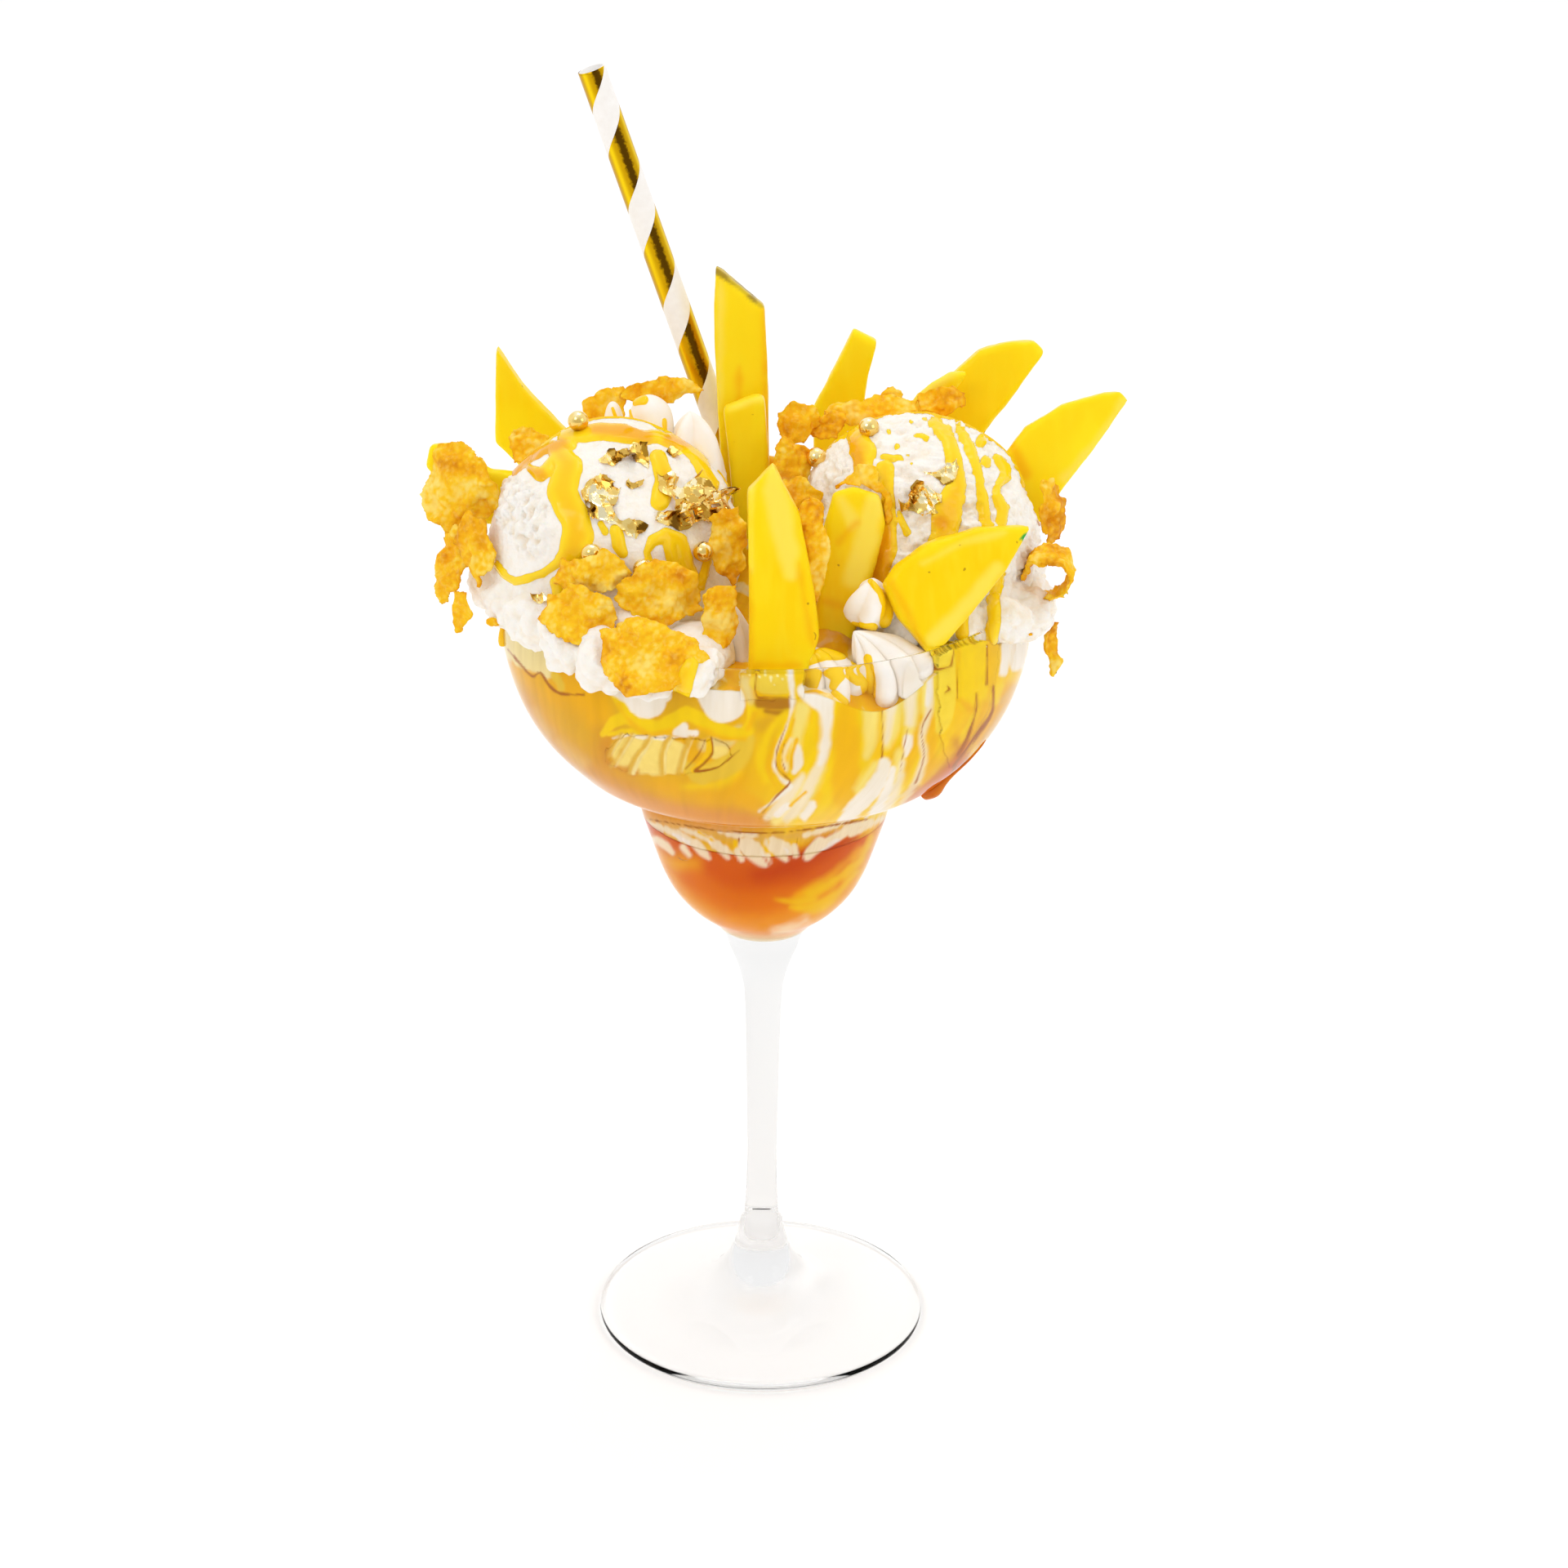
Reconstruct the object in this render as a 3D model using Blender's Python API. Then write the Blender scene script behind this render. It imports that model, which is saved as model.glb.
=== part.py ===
"""A mango sundae in a stemmed glass: two scoops, fruit, flakes, meringue and a paper straw.

Lengths are millimetres and angles degrees until a mesh is made, which is in metres.
+Z is up, the front of the dessert faces -Y, and the origin is the middle of the flat foot."""
import math
import random

import bmesh
import bpy
from mathutils import Euler, Vector, noise

MM = 0.001
GAP = 0.3
SHARP_ANGLE = 40

# Cleaning after a cut: merge distance, shortest edge, flatness in degrees, share of volume in doubt
WELD = 0.02
SHORTEST_EDGE = 0.01
FLAT_ANGLE = 1.0
VOLUME_DOUBT = 0.01

# Glass: a wide bowl over a small one, on a drawn stem. Points are (radius, height).
GLASS_SIDES = 32
WALL = 1.7
RIM_HEIGHT = 185.0
RIM_RADIUS = 57.5
FOOT_RADIUS = 37.7
FOOT = [(0, 0), (36.8, 0), (FOOT_RADIUS, 1.1), (37.1, 2.5), (21, 5), (14, 8), (9.5, 12), (6.3, 18)]
STEM = [(4.9, 24.3), (4.2, 25.2), (3.7, 31), (3.4, 42), (4.2, 78), (5.3, 88), (7.9, 95.5)]
SMALL_BOWL = [(11.5, 101.8), (16.2, 106), (21.1, 112), (25.1, 121.5), (29.1, 136)]
WIDE_BOWL = [(29.9, 138), (33.6, 139.3), (41.9, 143), (45.2, 146), (49.7, 151), (53.4, 157)]
BOWL_SIDE = [(56.1, 164), (57.6, 172), (RIM_RADIUS, RIM_HEIGHT - 0.4)]
BOWL_FLOOR = [(0, 99.8), (6, 100.9)]

# What fills the glass
FILL_SIDES = 24
SYRUP_LEVEL = 125.5
SYRUP_GAP = 0.6
FILL_LEVEL = 180.0
# Swells of the filling's top, down where the rise is negative: place, width and rise
FILL_SWELLS = [
    ((2.0, 14.0), 13.0, 28.0),
    ((-2.0, 43.0), 7.5, -9.0),
    ((13.0, -35.0), 5.5, 7.0),
    ((22.0, -50.0), 6.5, -6.0),
]
SYRUP_RINGS = (0.45, 0.78)
FILL_RINGS = (0.3, 0.52, 0.7, 0.86)
# Ripples: height, length from side to side, length from front to back
SYRUP_RIPPLE = (0.6, 20.3, 23.3)
FILL_RIPPLE = (1.2, 27.3, 33.1)

# Scoops: centre, half sizes, and the ragged skirt that rests on the rim
LEFT_SCOOP = {"at": (-32.7, -11.0, 194.5), "half": (27.0, 27.0, 27.0), "seed": 3}
RIGHT_SCOOP = {"at": (31.6, -4.0, 195.5), "half": (26.0, 26.0, 26.0), "seed": 8}
SCOOP_GRID = (26, 15)
SCOOP_FACES = 930
# Relief of the ice cream: depth and size, on the domes and on the lumps of the skirt
CRUMB = 0.9
CRUMB_SCALE = 7.0
LUMP_CRUMB = 2.4
LUMP_SCALE = 5.0
FINER = 2.3
LUMP_GRID = (10, 7)
# Skirt lumps: bearing from the front, distance from the axis, height, half width, half height
LEFT_SKIRT = [
    (-92, 57, 187, 7, 5.5), (-80, 57.5, 185.5, 7, 6), (-68, 58, 185, 6.5, 6), (-56, 58, 185.5, 6.5, 6),
    (-45, 57.5, 185, 6.5, 6.2), (-35, 57, 183.5, 6.5, 7), (-25, 56, 183, 7, 7), (-15, 54.5, 183.5, 6, 5),
    (-75, 47, 186, 10, 8), (-56, 47, 186, 10, 8), (-38, 46, 186, 10, 9), (-20, 45, 185, 10, 8),
]
RIGHT_SKIRT = [
    (62, 57, 185, 6, 5), (72, 58.5, 182.5, 6.5, 5.8), (83, 58, 182, 5, 5.5), (93, 56, 184.5, 5, 5),
    (70, 49, 186, 9, 8), (88, 49, 187, 9, 8), (46, 42, 184, 10, 10),
]
# Thick sauce on a scoop: width, height, then (bearing, elevation) points over its dome
LEFT_SAUCE = [
    (8.0, 1.0, [(-94, 56), (-44, 52), (-22, 37), (-16, 23), (-10, 8)]),
    (2.6, 0.9, [(-14, 12), (-25, 7), (-36, 1), (-48, -1), (-60, 3)]),
    (4.0, 0.8, [(-88, 46), (-87, 58), (-76, 70)]),
    (6.5, 1.0, [(-70, 76), (20, 84), (59, 68), (48, 54)]),
    (3.6, 0.9, [(112, 62), (100, 50), (93, 39), (92, 26)]),
    (6.5, 0.9, [(28, 46), (31, 33), (36, 19), (41, 7)]),
    (2.6, 0.9, [(3, 35), (9, 18)]),
]
RIGHT_SAUCE = [
    (8.0, 1.0, [(-70, 60), (-52, 50), (-29, 42), (-18, 24)]),
    (5.5, 1.0, [(80, 86), (26, 66), (19, 41), (12, 20)]),
    (2.6, 0.9, [(95, 72), (45, 55), (36, 35), (34, 19), (28, -4), (26, -24)]),
    (3.2, 0.9, [(66, 55), (58, 38), (45, 29), (41, 10), (44, -16)]),
]
# Section of a band of sauce: how far across it, and how high, as shares of its width and height
SAUCE_SECTION = [(-0.5, -1.2), (-0.46, 0.2), (-0.2, 1.0), (0.2, 1.0), (0.46, 0.2), (0.5, -1.2)]
SAUCE_STEPS = 3
SAUCE_TAPER = 0.6
PEARL_RADIUS = 2.2
PEARL_SHOWS = 0.7
PEARL_GRID = (8, 6)
LEFT_PEARLS = [(-120, 70), (44, 15), (-7, 19), (15, 12)]
RIGHT_PEARLS = [(-86, 38), (-80, 68)]

# Paper straw: a hollow tube that leans to the left as it rises
STRAW_RADIUS = 3.0
STRAW_WALL = 0.45
STRAW_LENGTH = 150.0
STRAW_TOP = (-38.1, 20.0, 291.0)
STRAW_LEAN = -19.0
STRAW_SIDES = 16

# Mango slices: place, turn, lean back, thickness at left and right, outline in the slice's plane
MANGO = {
    "mango_far_left": ((-65.1, -2, 200.3), 0, 10, (5, 5),
        [(-8.4, 8.8), (-7.3, 13.3), (-1.6, 13.7), (5.3, 8.1), (14, 7), (14, -4), (3.5, -3.5)]),
    "mango_back_left": ((-52.4, 22, 203.3), 0, 5, (5, 6),
        [(-7.5, 25.5), (-1.5, 16.5), (9, 5.3), (20, -6), (24, -26), (15, -26), (7, -12),
         (-8, 3.5)]),
    "mango_tall": ((-5.7, 12, 201.6), 0, 8, (6, 8),
        [(-5.8, 47.3), (4.7, 39.1), (5.6, 20), (6.1, -2), (5, -34), (-4, -34), (-4.4, -2),
         (-6, 30)]),
    "mango_short": ((-4.4, 3, 202.9), 0, 8, (5, 5),
        [(-5.2, 18.2), (1.8, 21), (3.5, 20.5), (5.3, 0), (5, -26), (-2.5, -26), (-3.2, -2)]),
    "mango_front": ((3.2, -47, 181.2), 0, 12, (9, 4.5),
        [(-1.8, 43.1), (-7.1, 37.5), (-6.6, 0), (-5.5, -14), (4, -14), (6, 0), (8.1, 7),
         (6.4, 18), (3.6, 33)]),
    "mango_middle": ((15.9, -32, 188.2), 0, 15, (6, 6),
        [(-2, 25.4), (2.2, 26.8), (7.8, 25), (9.2, 19), (6.4, 8), (2.1, -6), (-6, -9),
         (-5.1, 0), (-4.6, 15)]),
    "mango_leaf": ((34.5, -42, 185.2), 15, 15, (5, 6),
        [(-9.3, 13.2), (-6.6, 17), (0.6, 21.2), (11.5, 23.8), (22.4, 23), (17, 14.6), (9.5, 6),
         (0, -3), (-6.5, 6)]),
    "mango_right": ((57.8, 8, 203.6), 0, 15, (6, 5),
        [(20.4, 18), (18.6, 20), (15, 19.8), (6, 17), (-2, 12), (-8, 4), (-14, -8), (-13, -20),
         (-6, -20), (5.7, -2.6), (13, 7.5)]),
    "mango_back_right": ((45, 25, 209), 0, 12, (6, 6),
        [(15.5, 18.2), (13.1, 20.7), (7, 20.2), (1.1, 18.4), (-5, 13), (-13, 2), (-17, -12),
         (-13, -32), (-5, -32), (2.7, 0.4), (10, 10)]),
    "mango_back": ((16.1, 30, 212.7), 0, 8, (5, 5),
        [(2.5, 17.9), (7.7, 15.2), (6, 8), (4.5, -1), (4, -38), (-5, -38), (-6.3, 0), (-1.2, 10)]),
    "mango_curl": ((37.5, 18.5, 214), 8, 5, (2.5, 3.5),
        [(-7.5, 2.7), (-5, 6.3), (-2, 8.8), (2.4, 11), (6.4, 10.9), (3, 6), (0, 0), (-3, -9), (-9, -9)]),
    "mango_sunk": ((41.5, -36.5, 172), 48, -12, (7, 7),
        [(-7, 11.5), (6.5, 12.5), (7, -6), (4, -9), (-6, -9.5)]),
}
MANGO_EDGE = 0.9

# Piped meringue and dabs of cream: base, tip, radius, ridges, twist, bluntness, where 1 is a cone
MERINGUE = {
    "kiss_front": ((27.5, -41.5, 177.5), (18.5, -46, 189.5), 7.8, 7, 50, 1.2),
    "kiss_sauced": ((13.5, -44.5, 175.5), (9, -46, 186), 7.6, 6, 40, 1.4),
    "kiss_small": ((21.5, -39, 190.8), (23, -39, 199.5), 5.2, 5, 40, 1.2),
    "meringue_round": ((-24.6, 3, 214), (-25.8, 3, 224.2), 5.0, 4, 10, 4.0),
    "meringue_petal": ((-14.8, -2, 207), (-16.8, 1, 221.5), 6.4, 4, 20, 3.0),
    "meringue_bit": ((-33.2, 5, 214.5), (-33.4, 5, 222), 2.3, 3, 0, 3.0),
    "kiss_pale": ((-6.2, -38, 176.5), (-7, -36.5, 192), 5.2, 5, 30, 2.0),
    "kiss_sunk": ((-14.5, -46, 161), (-31, -39.5, 162.3), 6.8, 6, 30, 1.4),
}
RIDGE = 0.12
MERINGUE_RINGS = (-0.3, 0.0, 0.3, 0.6, 0.85)
MERINGUE_FOOT = -0.38
MERINGUE_TUCK = 0.62
MERINGUE_FULLNESS = 0.85

# Corn flakes: place, width, length, turn, lean back, spin, radius of the bend across, seed
FLAKE_THICKNESS = 1.2
FLAKE_EDGE = 0.75
FLAKE_SIDES = 10
FLAKE_RING = 0.55
FLAKE_WRAP = 4.0
FLAKE_RAGGED = 0.085
FLAKE_WAVE = 0.06
FLAKE_WAVE_SIZE = 4.0
FLAKES = {
    "flake_left_big": ((-66.4, -11.5, 207.6), 19.5, 19, -20, 15, 20, 18, 1),
    "flake_left_mid": ((-62.0, -20, 197.5), 9.7, 15.6, -35, 5, -15, 10, 2),
    "flake_left_low": ((-67.0, -15, 192.8), 8.4, 18, -40, 10, 12, 14, 3),
    "flake_left_tip": ((-64.5, -23, 184.5), 4.6, 10.8, -30, 0, 8, 9, 4),
    "flake_top_left": ((-51.9, 4, 212.5), 9.4, 8.5, -20, 25, 0, 10, 5),
    "flake_arch_left": ((-34.8, 10, 219), 12.5, 7.5, 0, 20, -48, 9, 6),
    "flake_arch_right": ((-24.0, 12, 222.8), 5, 20, 0, 20, 80, 12, 7),
    "flake_ribbon": ((-36.3, -40.4, 199.8), 17.5, 8.4, -7, 10, 0, 14, 8),
    "flake_front_left": ((-38.6, -46, 192.2), 16, 13.4, -12, 20, 0, 16, 9),
    "flake_front_mid": ((-21.6, -42, 195.6), 19.2, 14.6, 15, 15, 0, 20, 10),
    "flake_front_edge": ((-27, -46.5, 189.8), 12, 4, 12, 75, 0, 30, 11),
    "flake_front_big": ((-24, -57, 188), 25, 15.5, -8, 25, 0, 22, 12),
    "flake_front_right": ((-9.3, -45, 191.3), 9.4, 15.5, 15, 15, 8, 12, 13),
    "flake_mid_left": ((-7.9, -28.5, 201.5), 8.4, 15.6, 15, 15, 5, 12, 14),
    "flake_mid_top": ((6.2, 5, 217.8), 10.8, 8.4, 0, 25, 0, 9, 15),
    "flake_mid_curl": ((5.2, -4, 211.2), 9, 11, 10, 20, 0, 6, 16),
    "flake_mid_low": ((6.5, -16, 208.2), 10, 7.4, -10, 30, 20, 9, 17),
    "flake_mid_tall": ((9.6, -39, 204.4), 7.1, 23, 0, 8, 0, 12, 18),
    "flake_mid_wide": ((19.8, -25.5, 209), 14.4, 15.5, -10, 20, 0, 13, 19),
    "flake_top_pale": ((22.4, 11.5, 218.6), 6.8, 20.5, 0, 35, 84, 14, 20),
    "flake_top_bit": ((26.8, 17.5, 219.2), 5.7, 4.5, 0, 35, 0, 10, 21),
    "flake_top_right": ((37.5, 12.5, 220.4), 10.6, 6.6, 10, 30, 10, 9, 22),
    "flake_top_under": ((12.8, 6, 216.6), 8.6, 6.5, -20, 30, -20, 8, 23),
    "flake_right_high": ((61.6, -4, 201.4), 7.8, 15, 40, 10, 0, 8, 24),
    "flake_right_curl": ((63.7, -18, 195.4), 30, 8, 80, 45, 90, 5.4, 25),
    "flake_right_hang": ((62, -14.5, 173.5), 3.4, 13, 20, 0, 5, 12, 26),
}


def paint(obj, colour, roughness, metallic=0.0):
    """Gives the object a material of its own."""
    material = bpy.data.materials.new(obj.name)
    material.use_nodes = True
    shader = material.node_tree.nodes["Principled BSDF"]
    shader.inputs["Base Color"].default_value = (*colour, 1.0)
    shader.inputs["Roughness"].default_value = roughness
    shader.inputs["Metallic"].default_value = metallic
    obj.data.materials.clear()
    obj.data.materials.append(material)
    return obj


def solid(name, points, faces, smooth=True):
    """An object in metres from points in millimetres, with its faces pointing out."""
    bm = bmesh.new()
    verts = [bm.verts.new(Vector(point) * MM) for point in points]
    for face in faces:
        bm.faces.new([verts[i] for i in face])
    bmesh.ops.recalc_face_normals(bm, faces=bm.faces)
    mesh = bpy.data.meshes.new(name)
    bm.to_mesh(mesh)
    bm.free()
    if smooth:
        mesh.shade_smooth()
        mesh.set_sharp_from_angle(angle=math.radians(SHARP_ANGLE))
    obj = bpy.data.objects.new(name, mesh)
    bpy.context.scene.collection.objects.link(obj)
    return obj


def place(obj, at, turn=0.0, lean=0.0, spin=0.0):
    """Spins a piece in its own plane, leans its top back, turns it to the right, and sets it down."""
    obj.rotation_mode = "YXZ"
    obj.rotation_euler = Euler((math.radians(-lean), math.radians(spin), math.radians(turn)), "YXZ")
    obj.location = Vector(at) * MM
    return obj


def offset(path, distance):
    """The path moved sideways, to the left of its direction."""
    moved = []
    for i, (r, z) in enumerate(path):
        before = Vector(path[max(i - 1, 0)])
        after = Vector(path[min(i + 1, len(path) - 1)])
        along = (after - before).normalized()
        moved.append((r - along.y * distance, z + along.x * distance))
    return moved


def circle(radius, height, sides):
    """Points of a level circle round the axis."""
    angles = [math.tau * i / sides for i in range(sides)]
    return [(radius * math.cos(angle), radius * math.sin(angle), height) for angle in angles]


def turned(name, profile, sides):
    """A profile that starts and ends on the axis, turned once round it."""
    points = []
    rings = []
    for r, z in profile:
        if r == 0:
            rings.append([len(points)])
            points.append((0, 0, z))
            continue
        rings.append(list(range(len(points), len(points) + sides)))
        points.extend(circle(r, z, sides))
    return solid(name, points, skin(rings, sides))


def skin(rings, sides):
    """Faces between neighbouring rings, where a ring of one point is a pole."""
    faces = []
    for low, high in zip(rings, rings[1:]):
        for i in range(sides):
            j = (i + 1) % sides
            if len(low) == 1:
                faces.append((low[0], high[i], high[j]))
            elif len(high) == 1:
                faces.append((low[i], low[j], high[0]))
            else:
                faces.append((low[i], low[j], high[j]))
                faces.append((low[i], high[j], high[i]))
    return faces


def outer_path():
    return FOOT + STEM + SMALL_BOWL + WIDE_BOWL + BOWL_SIDE


def inner_path():
    """The inside of both bowls, from the floor up."""
    side = offset(SMALL_BOWL + WIDE_BOWL + BOWL_SIDE, WALL)
    return BOWL_FLOOR + side[:-1] + [(RIM_RADIUS - WALL + 0.3, RIM_HEIGHT - 0.5)]


def make_glass():
    lip = [(RIM_RADIUS - 0.7, RIM_HEIGHT)]
    obj = turned("glass", outer_path() + lip + inner_path()[::-1], GLASS_SIDES)
    return paint(obj, (0.93, 0.95, 0.95), 0.05)


def inside_radius(path, z):
    """How far from the axis a filling path lies at a height."""
    for (r0, z0), (r1, z1) in zip(path, path[1:]):
        if z0 <= z <= z1:
            return r0 + (r1 - r0) * (z - z0) / (z1 - z0)
    return path[-1][0]


def ripple(x, y, height, across, along):
    return height * math.sin(math.tau * x / across + 0.6) * math.cos(math.tau * y / along - 0.4)


def bump(x, y, middle, width):
    """A smooth bump, 1 at its middle and 0 far from it."""
    return math.exp(-((x - middle[0]) ** 2 + (y - middle[1]) ** 2) / (2 * width**2))


def syrup_surface(x, y):
    """The ruffled boundary between the syrup and the cream above it."""
    return SYRUP_LEVEL + ripple(x, y, *SYRUP_RIPPLE)


def fill_surface(x, y):
    """The top of the cream: a mound between the scoops, and a hollow at the back."""
    swell = sum(rise * bump(x, y, at, width) for at, width, rise in FILL_SWELLS)
    return FILL_LEVEL + ripple(x, y, *FILL_RIPPLE) + swell


def poured(name, lower, upper, low_rings, high_rings):
    """Fills the glass between two surfaces. lower may be a height, where the liquid lies on the floor."""
    wall = offset(inner_path(), GAP)
    angles = [math.tau * i / FILL_SIDES for i in range(FILL_SIDES)]
    points = []
    rings = []

    def add_ring(spots):
        rings.append(list(range(len(points), len(points) + len(spots))))
        points.extend(spots)

    def edge(surface, angle):
        radius = RIM_RADIUS
        for _ in range(12):
            height = surface(radius * math.cos(angle), radius * math.sin(angle))
            radius = inside_radius(wall, height)
        return radius, height

    def cap_ring(surface, share):
        spots = []
        for angle in angles:
            radius = edge(surface, angle)[0] * share
            x, y = radius * math.cos(angle), radius * math.sin(angle)
            spots.append((x, y, surface(x, y)))
        return spots

    if callable(lower):
        add_ring([(0, 0, lower(0, 0))])
        for share in low_rings:
            add_ring(cap_ring(lower, share))
        low_edge = [edge(lower, angle) for angle in angles]
        add_ring([(r * math.cos(a), r * math.sin(a), z) for (r, z), a in zip(low_edge, angles)])
        start = max(z for _, z in low_edge)
    else:
        add_ring([(0, 0, lower)])
        start = lower
    high_edge = [edge(upper, angle) for angle in angles]
    stop = min(z for _, z in high_edge)
    for r, z in wall:
        if start + 1 < z < stop - 1 and r > 1:
            add_ring([(r * math.cos(a), r * math.sin(a), z) for a in angles])
    add_ring([(r * math.cos(a), r * math.sin(a), z) for (r, z), a in zip(high_edge, angles)])
    for share in high_rings[::-1]:
        add_ring(cap_ring(upper, share))
    add_ring([(0, 0, upper(0, 0))])
    return solid(name, points, skin(rings, FILL_SIDES))


def make_syrup():
    floor_height = BOWL_FLOOR[0][1] + GAP
    obj = poured("syrup", floor_height, syrup_surface, (), SYRUP_RINGS)
    return paint(obj, (0.75, 0.18, 0.01), 0.2)


def above_syrup(x, y):
    return syrup_surface(x, y) + SYRUP_GAP


def make_filling():
    obj = poured("filling", above_syrup, fill_surface, SYRUP_RINGS, FILL_RINGS)
    return paint(obj, (0.9, 0.72, 0.3), 0.5)


def ball(name, shape, grid, relief=0.0, scale=1.0):
    """An uneven ball, whose relief follows noise over its surface."""
    bm = bmesh.new()
    bmesh.ops.create_uvsphere(bm, u_segments=grid[0], v_segments=grid[1], radius=1.0)
    for vert in bm.verts:
        vert.co = on_ball(shape, vert.co, relief, scale) * MM
    bmesh.ops.triangulate(bm, faces=bm.faces)
    mesh = bpy.data.meshes.new(name)
    bm.to_mesh(mesh)
    bm.free()
    mesh.shade_smooth()
    obj = bpy.data.objects.new(name, mesh)
    bpy.context.scene.collection.objects.link(obj)
    return obj


def on_ball(shape, direction, relief=CRUMB, scale=CRUMB_SCALE, rise=0.0):
    """The point of an uneven ball's surface that lies in a direction from its middle."""
    direction = Vector(direction).normalized()
    spot = Vector([direction[i] * shape["half"][i] for i in range(3)])
    shift = Vector((11.3, 7.1, 5.7)) * shape["seed"]
    coarse = noise.noise(spot / scale + shift)
    fine = noise.noise(spot * FINER / scale + shift)
    return Vector(shape["at"]) + spot + direction * (relief * (coarse + fine / 2) + rise)


def bearing(angle, elevation):
    """A direction from its bearing, 0 to the front and 90 to the right, and its elevation."""
    a, e = math.radians(angle), math.radians(elevation)
    return Vector((math.sin(a) * math.cos(e), -math.cos(a) * math.cos(e), math.sin(e)))


def smooth_path(points, steps):
    """Points along a smooth curve through the given ones."""
    spots = []
    count = len(points)
    for i in range(count - 1):
        p0, p1 = points[max(i - 1, 0)], points[i]
        p2, p3 = points[i + 1], points[min(i + 2, count - 1)]
        for k in range(steps):
            t = k / steps
            spots.append(0.5 * (2 * p1 + (p2 - p0) * t + (2 * p0 - 5 * p1 + 4 * p2 - p3) * t**2
                                + (3 * p1 - p0 - 3 * p2 + p3) * t**3))
    spots.append(points[-1])
    return spots


def ribbon(name, scoop, width, height, path):
    """A rounded band of sauce that follows a scoop's dome, with its underside in the ice cream."""
    spots = smooth_path([bearing(*spot) for spot in path], SAUCE_STEPS)
    count = len(SAUCE_SECTION)
    points = []
    rings = []
    for i, spot in enumerate(spots):
        up = spot.normalized()
        along = (spots[min(i + 1, len(spots) - 1)] - spots[max(i - 1, 0)]).normalized()
        side = along.cross(up).normalized()
        taper = SAUCE_TAPER if i in (0, len(spots) - 1) else 1.0
        rings.append(list(range(len(points), len(points) + count)))
        for across, rise in SAUCE_SECTION:
            sideways = up * scoop["half"][0] + side * across * width * taper
            points.append(on_ball(scoop, sideways, rise=rise * height * taper))
    faces = [tuple(rings[0]), tuple(reversed(rings[-1]))]
    return solid(name, points, skin(rings, count) + faces)


def join_all(target, pieces):
    """Fuses pieces to target by one union, and removes them."""
    group = bpy.data.collections.new(target.name + "_parts")
    bpy.context.scene.collection.children.link(group)
    for piece in pieces:
        bpy.context.scene.collection.objects.unlink(piece)
        group.objects.link(piece)
    modifier = target.modifiers.new("fuse", "BOOLEAN")
    modifier.operation = "UNION"
    modifier.operand_type = "COLLECTION"
    modifier.collection = group
    modifier.solver = "EXACT"
    modifier.use_self = True
    apply_modifiers(target)
    for piece in pieces:
        bpy.data.objects.remove(piece)
    bpy.data.collections.remove(group)


def apply_modifiers(obj):
    """Replaces the object's mesh with its evaluated one, without loose scraps."""
    bpy.context.view_layer.update()
    evaluated = obj.evaluated_get(bpy.context.evaluated_depsgraph_get())
    mesh = bpy.data.meshes.new_from_object(evaluated)
    obj.modifiers.clear()
    bm = bmesh.new()
    bm.from_mesh(mesh)
    bmesh.ops.remove_doubles(bm, verts=bm.verts, dist=WELD * MM)
    bmesh.ops.dissolve_degenerate(bm, edges=bm.edges, dist=SHORTEST_EDGE * MM)
    keep_largest(bm)
    flat = math.radians(FLAT_ANGLE)
    bmesh.ops.dissolve_limit(bm, angle_limit=flat, verts=bm.verts, edges=bm.edges)
    bmesh.ops.triangulate(bm, faces=bm.faces)
    bm.to_mesh(mesh)
    bm.free()
    mesh.name = obj.name
    obj.data = mesh


def keep_largest(bm):
    """Leaves only the body with the most surface. Bodies that share no more than an edge are apart."""
    bm.verts.ensure_lookup_table()
    seen = set()
    bodies = []
    for start in bm.faces:
        if start in seen:
            continue
        body = [start]
        seen.add(start)
        for face in body:
            for edge in face.edges:
                for other in edge.link_faces:
                    if other not in seen and len(edge.link_faces) == 2:
                        seen.add(other)
                        body.append(other)
        bodies.append(body)
    bodies.sort(key=lambda body: sum(face.calc_area() for face in body))
    for body in bodies[:-1]:
        bmesh.ops.delete(bm, geom=body, context="FACES")
    loose = [vert for vert in bm.verts if not vert.link_faces]
    bmesh.ops.delete(bm, geom=loose, context="VERTS")


def grown(obj, margin=GAP):
    """A cutter: a copy of the object with every face a little further out."""
    bpy.context.view_layer.update()
    bm = bmesh.new()
    bm.from_mesh(obj.data)
    bm.transform(obj.matrix_world)
    bm.normal_update()
    moves = [vert.normal * margin * MM * min(vert.calc_shell_factor(), 2.0) for vert in bm.verts]
    for vert, move in zip(bm.verts, moves):
        vert.co += move
    mesh = bpy.data.meshes.new(obj.name + "_room")
    bm.to_mesh(mesh)
    bm.free()
    cutter = bpy.data.objects.new(obj.name + "_room", mesh)
    bpy.context.scene.collection.objects.link(cutter)
    cutter.hide_render = True
    cutter.display_type = "WIRE"
    return cutter


def reach(obj):
    """The lowest and highest corner of an object's box, in metres."""
    corners = [obj.matrix_world @ vert.co for vert in obj.data.vertices]
    low = [min(corner[i] for corner in corners) for i in range(3)]
    high = [max(corner[i] for corner in corners) for i in range(3)]
    return low, high


def volume(obj):
    """The volume that an object's mesh encloses."""
    bm = bmesh.new()
    bm.from_mesh(obj.data)
    size = bm.calc_volume()
    bm.free()
    return size


def meets(a, b):
    """True if the boxes of two objects overlap."""
    bpy.context.view_layer.update()
    (low_a, high_a), (low_b, high_b) = reach(a), reach(b)
    return all(low_a[i] < high_b[i] and low_b[i] < high_a[i] for i in range(3))


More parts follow.
